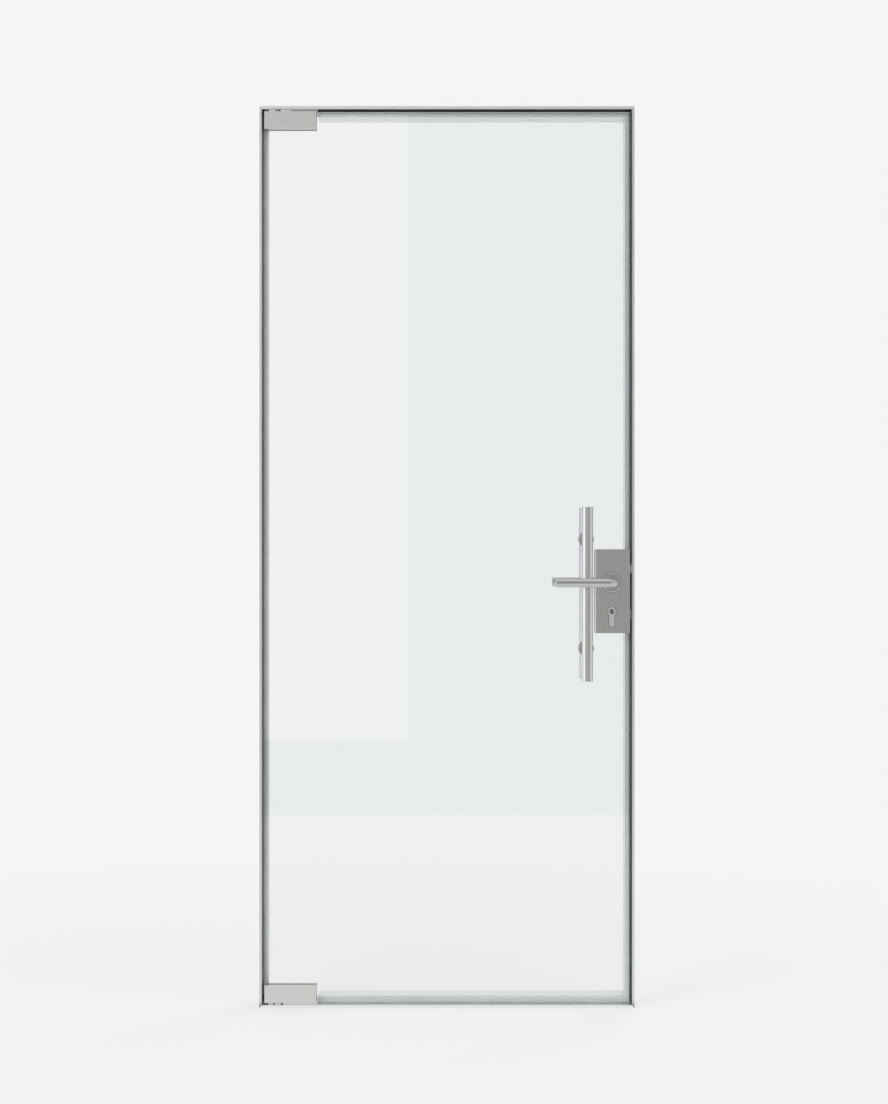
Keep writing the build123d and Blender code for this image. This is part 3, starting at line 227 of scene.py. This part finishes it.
class Graph:
    """A node tree that is built from nothing."""

    def __init__(self, tree):
        self.tree = tree
        tree.nodes.clear()

    def add(self, kind, settings=None, inputs=None, output=0):
        """Adds one node: its settings come first, then its inputs' values or links."""
        node = self.tree.nodes.new(kind)
        for name, value in (settings or {}).items():
            setattr(node, name, value)
        for name, value in (inputs or {}).items():
            if isinstance(value, Socket):
                self.tree.links.new(value.output, node.inputs[name])
            else:
                node.inputs[name].default_value = value
        return Socket(self, node.outputs[output]) if node.outputs else None

    def place(self):
        """Object coordinates, which are also the door's own."""
        return self.add("ShaderNodeTexCoord", output="Object")

    def part(self, vector, axis):
        """One part of a vector: X, Y or Z."""
        return self.add("ShaderNodeSeparateXYZ", None, {0: vector}, output=axis)

    def vector_math(self, operation, first, second=None, output=0):
        inputs = {0: first} if second is None else {0: first, 1: second}
        return self.add("ShaderNodeVectorMath", {"operation": operation}, inputs, output)

    def length(self, vector):
        return self.vector_math("LENGTH", vector, output="Value")

    def mix(self, factor, first, second):
        return self.add(
            "ShaderNodeMix",
            {"data_type": "RGBA"},
            {"Factor": factor, MIX_FIRST: first, MIX_SECOND: second},
            output=MIX_RESULT,
        )

    def shades(self, tone, rgb, low, high):
        """A colour between two gains, by a tone from 0 to 1."""
        return self.mix(tone, opaque(rgb, low), opaque(rgb, high))

    def mix_shaders(self, factor, first, second):
        return self.add("ShaderNodeMixShader", None, {0: factor, 1: first, 2: second})

    def noise(self, vector, scale, detail=2.0, roughness=0.5):
        inputs = {"Vector": vector, "Scale": scale, "Detail": detail, "Roughness": roughness}
        return self.add("ShaderNodeTexNoise", None, inputs)

    def stretch(self, vector, scale):
        return self.add("ShaderNodeMapping", None, {"Vector": vector, "Scale": scale})

    def bump(self, height, strength, distance=FINE_RELIEF):
        inputs = {"Height": height, "Strength": strength, "Distance": distance}
        return self.add("ShaderNodeBump", None, inputs)

    def emission(self, rgb, strength=1.0):
        return self.add("ShaderNodeEmission", None, {"Color": rgb, "Strength": strength})

    def principled(self, sockets):
        return self.add("ShaderNodeBsdfPrincipled", None, sockets)

    def surface(self, shader):
        self.add("ShaderNodeOutputMaterial", None, {"Surface": shader})


def opaque(rgb, gain=1.0):
    """A colour with its alpha, made lighter or darker."""
    return (*(min(1.0, channel * gain) for channel in rgb), 1.0)


def around(tone, middle, spread):
    """A value that goes the spread to each side of its middle, by a tone from 0 to 1."""
    return tone * (2 * spread) + (middle - spread)


def new_material(name):
    material = bpy.data.materials.new(name)
    material.use_nodes = True
    return material, Graph(material.node_tree)


def give(material, *names):
    """Puts a material on CAD nodes."""
    for name in names:
        mesh = nodes[name].data
        mesh.materials.clear()
        mesh.materials.append(material)


def middle_of(name):
    """The middle of a node's box."""
    low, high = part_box(name)
    return (low + high) / 2


def near_profile(graph, centre, radius, leg_half, leg_end):
    """1 on the outline of a round with a leg under it, and 0 beyond the rim's width: the mask of a
    painted shadow rim.
    """
    place = graph.place()
    across = graph.part(place, "X") - centre[0]
    up = graph.part(place, "Z") - centre[1]
    below = up - up.larger(leg_end - centre[1]).smaller(0.0)
    to_round = (across * across + up * up).root() - radius
    to_leg = (across * across + below * below).root() - leg_half
    return 1.0 - (to_round.smaller(to_leg) * (1.0 / SHADOW_RIM_WIDTH)).larger(0.0).smaller(1.0)


def brushed(name, rgb, along, roughness, contrast=0.10, painted_shadow_rims=()):
    """Satin metal with fine scratches along one axis, faint clouds and perhaps painted shadow
    rims.
    """
    material, graph = new_material(name)
    place = graph.place()
    stretched = graph.stretch(place, BRUSH_ALONG[along])
    scratches = graph.noise(stretched, scale=1.0, roughness=0.6)
    clouds = graph.noise(place, scale=9.0)
    tone = scratches * 0.75 + clouds * 0.25
    base = graph.shades(tone, rgb, 1.0 - contrast, 1.0 + contrast)
    # Painted shadow: dark rims round the cylinder and the rose stand in for the shade in their
    # gaps
    for outline in painted_shadow_rims:
        base = graph.mix(near_profile(graph, *outline), base, opaque(rgb, SHADOW_RIM_TONE))
    sockets = {
        "Base Color": base,
        "Metallic": 1.0,
        "Roughness": around(tone, roughness, spread=0.11),
        "Normal": graph.bump(scratches, strength=0.10),
    }
    graph.surface(graph.principled(sockets))
    return material


def recess(graph):
    """1 in the open, and lower the deeper a surface lies in a narrow gap: the mask of painted
    shade.
    """
    settings, inputs = {"samples": GAP_SAMPLES}, {"Distance": GAP_DEPTH}
    return graph.add("ShaderNodeAmbientOcclusion", settings, inputs, output="AO") ** GAP_DARKNESS


def anodised(name, rgb, along, roughness, painted_gap_shade=False, metallic=HALF_MIRROR):
    """Drawn and anodised metal: part mirror, part pale skin, with faint drawing lines, and on
    request painted shade in its gaps.
    """
    material, graph = new_material(name)
    place = graph.place()
    stretched = graph.stretch(place, BRUSH_ALONG[along])
    lines = graph.noise(stretched, scale=0.6, roughness=0.6)
    clouds = graph.noise(place, scale=4.0)
    tone = lines * 0.6 + clouds * 0.4
    base = graph.shades(tone, rgb, low=0.95, high=1.05)
    if painted_gap_shade:
        # Painted shade: the metal is darkened in narrow gaps, where shade falls
        base = graph.mix(recess(graph), opaque(PAINTED_SHADE), base)
    sockets = {
        "Base Color": base,
        "Metallic": metallic,
        "Roughness": around(tone, roughness, spread=0.07),
        "Coat Weight": CLEAR_SKIN,
        "Coat Roughness": CLEAR_SKIN_ROUGHNESS,
        "Normal": graph.bump(lines, strength=0.06),
    }
    graph.surface(graph.principled(sockets))
    return material


def turned(name, rgb, axis_point, axis, roughness, slot=None):
    """Metal faced on a lathe, with fine rings round an axis and perhaps a slot in it painted dark
    as painted shade.
    """
    material, graph = new_material(name)
    keep = tuple(0.0 if letter == axis else 1.0 for letter in "xyz")
    centred = graph.vector_math("SUBTRACT", graph.place(), tuple(axis_point))
    radius = graph.length(graph.vector_math("MULTIPLY", centred, keep))
    inputs = {"W": radius * RINGS_PER_METRE, "Scale": 1.0}
    rings = graph.add("ShaderNodeTexNoise", {"noise_dimensions": "1D"}, inputs)
    sockets = {
        "Base Color": graph.shades(rings, rgb, low=0.90, high=1.10),
        "Metallic": 1.0,
        "Roughness": around(rings, roughness, spread=0.08),
        "Normal": graph.bump(rings, strength=0.08),
    }
    if slot:
        # Painted shade in the keyway: dark, rough and not metallic
        slot_shade = painted_shade_inside(graph, *slot)
        sockets["Base Color"] = graph.mix(slot_shade, sockets["Base Color"], opaque(PAINTED_SHADE))
        sockets["Metallic"] = 1.0 - slot_shade
        sockets["Roughness"] = sockets["Roughness"] + slot_shade * SLOT_SHADE_ROUGHNESS
    graph.surface(graph.principled(sockets))
    return material


def painted_shade_inside(graph, middle, half):
    """1 inside a box, where no polishing or light reaches: the mask of painted shade."""
    offset = graph.vector_math("SUBTRACT", graph.place(), tuple(middle))
    size = graph.vector_math("ABSOLUTE", offset)
    inside = [graph.part(size, axis).below(limit) for axis, limit in zip("XYZ", half)]
    return inside[0] * inside[1] * inside[2]


def plated(name, rgb, roughness=0.28):
    """Plated or tumbled metal with a fine even grain."""
    material, graph = new_material(name)
    grain = graph.noise(graph.place(), scale=1400.0)
    clouds = graph.noise(graph.place(), scale=60.0)
    sockets = {
        "Base Color": graph.shades(clouds, rgb, low=0.90, high=1.08),
        "Metallic": 1.0,
        "Roughness": around(grain, roughness, spread=0.06),
        "Normal": graph.bump(grain, strength=0.06),
    }
    graph.surface(graph.principled(sockets))
    return material


def cast(name, rgb):
    """Cast metal with a pebbled skin."""
    material, graph = new_material(name)
    pebbles = graph.noise(graph.place(), scale=700.0, detail=4.0, roughness=0.65)
    sockets = {
        "Base Color": graph.shades(pebbles, rgb, low=0.82, high=1.08),
        "Metallic": 1.0,
        "Roughness": around(pebbles, middle=0.52, spread=0.1),
        "Normal": graph.bump(pebbles, strength=0.35, distance=2 * FINE_RELIEF),
    }
    graph.surface(graph.principled(sockets))
    return material


def rubber(name, rgb, dusty=1.6):
    """Extruded rubber with a matt skin, lighter by a factor where dust lies."""
    material, graph = new_material(name)
    skin = graph.noise(graph.place(), scale=900.0, detail=3.0)
    dust = graph.noise(graph.place(), scale=25.0)
    sockets = {
        "Base Color": graph.shades(dust, rgb, low=0.8, high=dusty),
        "Roughness": around(skin, middle=0.65, spread=0.1),
        "Normal": graph.bump(skin, strength=0.25, distance=1.5 * FINE_RELIEF),
    }
    graph.surface(graph.principled(sockets))
    return material


def nylon(name, rgb):
    """Moulded nylon, slightly soft to the eye."""
    material, graph = new_material(name)
    mould = graph.noise(graph.place(), scale=300.0, detail=3.0)
    glow = 2.0 * MILLIMETRE
    sockets = {
        "Base Color": graph.shades(mould, rgb, low=0.94, high=1.04),
        "Roughness": around(mould, middle=0.495, spread=0.075),
        "Subsurface Weight": 0.1,
        "Subsurface Radius": (glow, glow, glow),
        "Normal": graph.bump(mould, strength=0.1),
    }
    graph.surface(graph.principled(sockets))
    return material


def clear_pane(graph, finish):
    """A clear face: it mirrors a little, more at a slant, and is toned only head on."""
    facing = graph.add("ShaderNodeLayerWeight", None, {"Blend": 0.5}, output="Facing")
    mirror = facing ** GRAZING_POWER * (1.0 - HEAD_ON_MIRROR) + HEAD_ON_MIRROR
    one_face = tuple(channel ** 0.5 for channel in finish.tint)
    through = graph.add("ShaderNodeBsdfTransparent", None, {"Color": opaque(one_face)})
    toned, plain = (
        graph.add("ShaderNodeBsdfGlossy", None, {"Color": opaque(rgb), "Roughness": 0.0})
        for rgb in (finish.sheen, WHITE)
    )
    return graph.mix_shaders(mirror, through, graph.mix_shaders(facing, toned, plain))


def clear_glass(finish):
    """Toughened glass: two clear faces, and ground edges that look green, with painted light on
    the bottom edge.
    """
    material, graph = new_material("clear glass")
    grinding = graph.noise(graph.stretch(graph.place(), (900.0, 900.0, 60.0)), scale=1.0)
    normal = graph.add("ShaderNodeTexCoord", output="Normal")    # turns with the leaf
    lit_underside = graph.part(normal, "Z").below(-SIDE_ON)
    ground = graph.shades(grinding, finish.edge, low=0.85, high=1.1)
    sockets = {
        # Painted light: the edge that faces down takes the pale colour
        "Base Color": graph.mix(lit_underside, ground, opaque(finish.bottom_edge)),
        "Roughness": around(grinding, middle=0.195, spread=0.075),
        "IOR": GLASS_IOR,
        "Transmission Weight": EDGE_CLARITY,
    }
    on_edge = abs(graph.part(normal, "Y")).below(SIDE_ON)
    pane = clear_pane(graph, finish)
    graph.surface(graph.mix_shaders(on_edge, pane, graph.principled(sockets)))
    return material


class DOOR_OT_frame(bpy.types.Operator):
    """Finish the frame's four sections and their cleats"""

    bl_idname = "door.frame"
    bl_label = "Frame"

    def execute(self, context):
        finish = context.scene.door_frame
        section, rough = finish.section, finish.roughness
        # Both frame materials carry painted shade in the gaps round the leaf
        upright = anodised("anodised upright", section, "z", rough, painted_gap_shade=True, metallic=0.85)
        level = anodised("anodised level", section, "x", rough, painted_gap_shade=True, metallic=0.7)
        give(upright, "frame_jamb_hinge", "frame_jamb_lock")
        give(level, "frame_header")
        give(anodised("anodised sill", finish.sill, "x", rough), "frame_sill")
        give(cast("mill cleat", SLOT_COLOURS["cleat_metal"]), "corner_cleats")
        strike = brushed("strike steel", SLOT_COLOURS["strike_steel"], "z", roughness=0.3)
        give(strike, "strike_plate")
        return {"FINISHED"}


class DOOR_OT_stops(bpy.types.Operator):
    """Finish the stop strips and their gaskets"""

    bl_idname = "door.stops"
    bl_label = "Stops and gaskets"

    def execute(self, context):
        finish = context.scene.door_frame
        upright = anodised("stop upright", finish.stop, "z", finish.roughness)
        level = anodised("stop level", finish.stop, "x", finish.roughness)
        give(upright, "stop_hinge", "stop_lock")
        give(level, "stop_header", "stop_sill")
        give(rubber("gasket rubber", finish.gasket), "gasket_lock", "gasket_header")
        give(rubber("grey seal", finish.seal), "gasket_hinge")
        give(rubber("pale seal", finish.sill_seal, dusty=1.06), "gasket_sill")
        return {"FINISHED"}


class DOOR_OT_pivots(bpy.types.Operator):
    """Finish the pivots, their washer and the bronze bushes"""

    bl_idname = "door.pivots"
    bl_label = "Pivots"

    def execute(self, context):
        axis_point = middle_of("thrust_washer")
        steel_rgb, bronze_rgb = SLOT_COLOURS["pivot_steel"], SLOT_COLOURS["bush_bronze"]
        steel = turned("turned pivot steel", steel_rgb, axis_point, "z", roughness=0.26)
        bronze = turned("turned bronze", bronze_rgb, axis_point, "z", roughness=0.3)
        give(steel, "top_pivot", "bottom_pivot", "thrust_washer")
        give(bronze, *(f"{end}_patch_bush" for end in PATCH_ENDS))
        return {"FINISHED"}


class DOOR_OT_glass(bpy.types.Operator):
    """Finish the glass leaf"""

    bl_idname = "door.glass"
    bl_label = "Glass"

    def execute(self, context):
        give(clear_glass(context.scene.door_glass), "glass_leaf")
        return {"FINISHED"}


class DOOR_OT_patches(bpy.types.Operator):
    """Finish the corner patches"""

    bl_idname = "door.patches"
    bl_label = "Patches"

    def execute(self, context):
        finish = context.scene.door_hardware
        cover = brushed("satin patch steel", finish.patch, "x", finish.roughness, contrast=0.06)
        clamp = cast("cast clamp", SLOT_COLOURS["clamp_metal"])
        for end in PATCH_ENDS:
            for face in FACES:
                give(cover, f"{end}_patch_{face}_cover")
                give(clamp, f"{end}_patch_{face}_clamp")
        give(rubber("glass pads", SLOT_COLOURS["pad_rubber"]), "patch_pads", "lock_pads")
        return {"FINISHED"}


def lock_shadow_rims():
    """Outlines of the cylinder and the rose, round which shadow is painted: centre, radius, half a
    leg's width, its end.
    """
    low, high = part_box("cylinder_body")
    leg_half = LEG_WIDTH / 2
    round_cylinder = (middle_of("key_plugs").xz, (high - low).x / 2, leg_half, low.z + leg_half)
    low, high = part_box("rose_front")
    spindle = middle_of("spindle")
    round_rose = (spindle.xz, (high - low).x / 2, 0.0, spindle.z)
    return round_cylinder, round_rose


class DOOR_OT_lock(bpy.types.Operator):
    """Finish the lock case, its works and the roses"""

    bl_idname = "door.lock"
    bl_label = "Lock"

    def execute(self, context):
        finish = context.scene.door_hardware
        inner, rose = SLOT_COLOURS["inner_steel"], SLOT_COLOURS["rose_steel"]
        cover = brushed(
            "satin lock steel",
            finish.lock,
            "z",
            finish.roughness,
            contrast=0.06,
            painted_shadow_rims=lock_shadow_rims(),
        )
        give(cover, "lock_front_cover", "lock_back_cover")
        forend = brushed("forend steel", SLOT_COLOURS["forend_steel"], "z", roughness=0.3)
        give(forend, "lock_forend")
        zinc = plated("zinc plated steel", inner)
        give(zinc, "lock_chassis", "lock_cam", "return_springs", "latch_bolt", "deadbolt")
        spindle = middle_of("spindle")
        follower = turned("turned follower", inner, spindle, "y", roughness=0.3)
        roses = turned("turned roses", rose, spindle, "y", roughness=0.28)
        give(follower, "follower")
        give(roses, "rose_front", "rose_back")
        return {"FINISHED"}


class DOOR_OT_cylinder(bpy.types.Operator):
    """Finish the profile cylinder and its plugs"""

    bl_idname = "door.cylinder"
    bl_label = "Cylinder"

    def execute(self, context):
        nickel = context.scene.door_hardware.cylinder
        low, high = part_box("key_plugs")
        middle = middle_of("key_plugs")
        # The box that gets the keyway's painted shade
        keyway = (middle, (KEYWAY[0], (high - low).y / 2 - KEYWAY_END, KEYWAY[1]))
        body = anodised("satin nickel", nickel, "y", roughness=0.4)
        plugs = turned("turned plugs", nickel, middle, "y", roughness=0.26, slot=keyway)
        give(body, "cylinder_body")
        give(plugs, "key_plugs")
        return {"FINISHED"}


class DOOR_OT_levers(bpy.types.Operator):
    """Finish the lever handles and their spindle"""

    bl_idname = "door.levers"
    bl_label = "Levers"

    def execute(self, context):
        finish = context.scene.door_hardware
        lever = brushed("satin lever steel", finish.lever, "x", finish.roughness, contrast=0.05)
        give(lever, "lever_front", "lever_back")
        spindle = brushed("drawn spindle", SLOT_COLOURS["inner_steel"], "y", roughness=0.35)
        give(spindle, "spindle")
        return {"FINISHED"}


class DOOR_OT_pulls(bpy.types.Operator):
    """Finish the pull bars, their caps, posts and rosettes"""

    bl_idname = "door.pulls"
    bl_label = "Pull bars"

    def execute(self, context):
        finish = context.scene.door_hardware
        bar = brushed("satin pull steel", finish.pull, "z", finish.roughness, contrast=0.05)
        axis_point = middle_of("pull_bar_front")
        cap = turned("turned caps", finish.pull, axis_point, "z", roughness=0.28)
        post = brushed("turned posts", finish.post, "y", roughness=0.3)
        give(bar, "pull_bar_front", "pull_bar_back")
        give(cap, "pull_end_caps")
        give(post, "pull_posts", "pull_rosettes")
        give(nylon("nylon bushes", SLOT_COLOURS["bush_nylon"]), "pull_bushes")
        return {"FINISHED"}


class DOOR_OT_screws(bpy.types.Operator):
    """Finish all screws and studs"""

    bl_idname = "door.screws"
    bl_label = "Screws"

    def execute(self, context):
        screws = [name for name, slot in NODE_SLOTS.items() if slot == "screw_steel"]
        give(plated("screw steel", SLOT_COLOURS["screw_steel"], roughness=0.26), *screws)
        return {"FINISHED"}


def stage_plane(name, corners, material):
    """A flat stage piece between four corners."""
    shape = bmesh.new()
    shape.faces.new([shape.verts.new(corner) for corner in corners])
    mesh = bpy.data.meshes.new(name)
    shape.to_mesh(mesh)
    shape.free()
    plane = bpy.data.objects.new(name, mesh)
    plane.data.materials.append(material)
    bpy.context.scene.collection.objects.link(plane)
    return plane


def glow_plane(name, corners, rgb, strength):
    """A flat card of one brightness that shows only in reflections."""
    material, graph = new_material(name)
    graph.surface(graph.emission(opaque(rgb), strength))
    card = stage_plane(name, corners, material)
    card.visible_camera = False
    card.visible_diffuse = False
    card.visible_transmission = False
    card.visible_shadow = False


def standing_card(name, start, end, rgb, height, strength):
    """A card that stands between two points of the floor's plan."""
    corners = ((*start, 0.0), (*end, 0.0), (*end, height), (*start, height))
    glow_plane(name, corners, rgb, strength)


def soft_lamp(name, place, target, power):
    """A square soft light aimed at a point, out of sight of the glass."""
    lamp = bpy.data.lights.new(name, "AREA")
    lamp.size = LAMP_SIZE
    lamp.energy = power
    holder = bpy.data.objects.new(name, lamp)
    holder.location = place
    holder.rotation_euler = (Vector(target) - Vector(place)).to_track_quat("-Z", "Y").to_euler()
    holder.visible_glossy = False
    holder.visible_camera = False
    holder.visible_transmission = False
    bpy.context.scene.collection.objects.link(holder)


def seen_plainly(graph):
    """1 for rays from the eye, straight or through glass."""
    straight = graph.add("ShaderNodeLightPath", output="Is Camera Ray")
    return straight.larger(graph.add("ShaderNodeLightPath", output="Is Transmission Ray"))


def mirrored(graph):
    """1 for rays that a polished surface throws back."""
    gloss = graph.add("ShaderNodeLightPath", output="Is Glossy Ray")
    return gloss - graph.add("ShaderNodeLightPath", output="Is Transmission Ray") * gloss


def floor_material(setup):
    """A pale floor with soft shadows near the door, plain further off and in mirrors."""
    material, graph = new_material("pale floor")
    place = graph.place()
    far = graph.part(place, "Y").below(-setup.floor_reach)
    in_mirror = graph.mix(far, opaque(setup.near_floor), opaque(setup.dark_wall))
    inputs = {"Value": graph.length(place), "From Min": SHADOW_NEAR, "From Max": SHADOW_FAR}
    inputs.update({"To Min": SHADOW_VEIL, "To Max": 1.0})
    fade = graph.add("ShaderNodeMapRange", {"interpolation_type": "SMOOTHSTEP"}, inputs)
    lit = graph.add("ShaderNodeBsdfDiffuse", None, {"Color": opaque(WHITE, FLOOR_LIGHTNESS)})
    plain = graph.emission(opaque(setup.background))
    first = graph.mix_shaders(seen_plainly(graph) * fade, lit, plain)
    graph.surface(graph.mix_shaders(mirrored(graph), first, graph.emission(in_mirror)))
    return material


def studio_world(setup):
    """Soft light all round, with the plain background for eyes and glass."""
    world = bpy.data.worlds.new("studio")
    world.use_nodes = True
    bpy.context.scene.world = world
    graph = Graph(world.node_tree)
    ambient = graph.mix(mirrored(graph), opaque(setup.ambient), opaque(setup.mirrored_ambient))
    shown = graph.mix(seen_plainly(graph), ambient, opaque(setup.background))
    shader = graph.add("ShaderNodeBackground", None, {"Color": shown, "Strength": 1.0})
    graph.add("ShaderNodeOutputWorld", None, {"Surface": shader})


def rectangle(left, right, near, far, height):
    """The corners of a level rectangle."""
    return ((left, near, height), (right, near, height), (right, far, height), (left, far, height))


def mirrored_room(setup):
    """Cards for what the glass and the metal mirror: name, ends, colour, height, strength."""
    far, start, edge = setup.wall_distance, setup.wall_start, setup.wall_edge
    side, light, dark, glow = setup.room_side, setup.light_wall, setup.dark_wall, setup.side_glow
    cards = (
        ("light wall", (start, -far), (edge, -far), light, 4.5, 1.0),
        ("dark wall", (edge, -far), (side, -far), dark, 4.8, 1.0),
        ("dark wall left", (-side, -far), (start, -far), dark, 4.8, 1.0),
        ("light wall behind", (-2.4, far), (2.4, far), light, 3.6, 1.0),
        ("left glow", (-side, -4.4), (-side, 0.6), glow, 4.8, 1.3),
        ("right glow", (side, -3.5), (side, 0.6), glow, 4.8, 0.72),
    )
    for card in cards:
        standing_card(*card)
    ceiling = rectangle(left=-3.0, right=3.0, near=-2.6, far=0.9, height=CEILING_HEIGHT)
    glow_plane("ceiling glow", ceiling, glow, strength=0.95)


def add_camera(setup):
    """A camera that looks level and square at the door."""
    camera = bpy.data.cameras.new("camera")
    camera.lens = setup.lens
    camera.sensor_width = SENSOR_WIDTH
    holder = bpy.data.objects.new("camera", camera)
    holder.location = (setup.camera_side, -setup.camera_distance, setup.camera_height)
    holder.rotation_euler = (radians(90.0), 0.0, 0.0)
    bpy.context.scene.collection.objects.link(holder)
    bpy.context.scene.camera = holder


class DOOR_OT_stage(bpy.types.Operator):
    """Make the floor, the mirrored cards, the lights and the camera"""

    bl_idname = "door.stage"
    bl_label = "Stage"

    def execute(self, context):
        setup = context.scene.door_stage
        half = FLOOR_HALF
        stage_plane("floor", rectangle(-half, half, -half, half, 0.0), floor_material(setup))
        mirrored_room(setup)
        target = (0.0, 0.0, 1.1)
        soft_lamp("key", (-2.8, -3.6, 3.6), target, power=110.0)
        soft_lamp("fill", (3.2, -3.0, 2.4), target, power=45.0)
        soft_lamp("back light", (2.0, 3.8, 3.2), target, power=80.0)
        studio_world(setup)
        add_camera(setup)
        context.scene.view_settings.view_transform = "Standard"
        return {"FINISHED"}


class DOOR_PT_sidebar(bpy.types.Panel):
    """Lists the door's finishes"""

    bl_idname = "DOOR_PT_sidebar"
    bl_label = "Glass Door"
    bl_space_type = "VIEW_3D"
    bl_region_type = "UI"
    bl_category = "Glass Door"

    def draw(self, context):
        for operator in OPERATORS:
            self.layout.operator(operator.bl_idname)
        for name, group in GROUPS.items():
            for field in group.__annotations__:
                self.layout.prop(getattr(context.scene, name), field)


GROUPS = {
    "door_frame": FrameFinish,
    "door_glass": GlassFinish,
    "door_hardware": HardwareFinish,
    "door_stage": StageSetup,
}
OPERATORS = (
    DOOR_OT_frame,
    DOOR_OT_stops,
    DOOR_OT_pivots,
    DOOR_OT_glass,
    DOOR_OT_patches,
    DOOR_OT_lock,
    DOOR_OT_cylinder,
    DOOR_OT_levers,
    DOOR_OT_pulls,
    DOOR_OT_screws,
    DOOR_OT_stage,
)


def register():
    for group in GROUPS.values():
        bpy.utils.register_class(group)
    for operator in OPERATORS:
        bpy.utils.register_class(operator)
    bpy.utils.register_class(DOOR_PT_sidebar)
    for name, group in GROUPS.items():
        setattr(bpy.types.Scene, name, PointerProperty(type=group))


def unregister():
    for name in GROUPS:
        delattr(bpy.types.Scene, name)
    bpy.utils.unregister_class(DOOR_PT_sidebar)
    for operator in reversed(OPERATORS):
        bpy.utils.unregister_class(operator)
    for group in reversed(GROUPS.values()):
        bpy.utils.unregister_class(group)


def main():
    register()
    for operator in OPERATORS:
        family, name = operator.bl_idname.split(".")
        getattr(getattr(bpy.ops, family), name)()


if __name__ == "__main__":
    main()
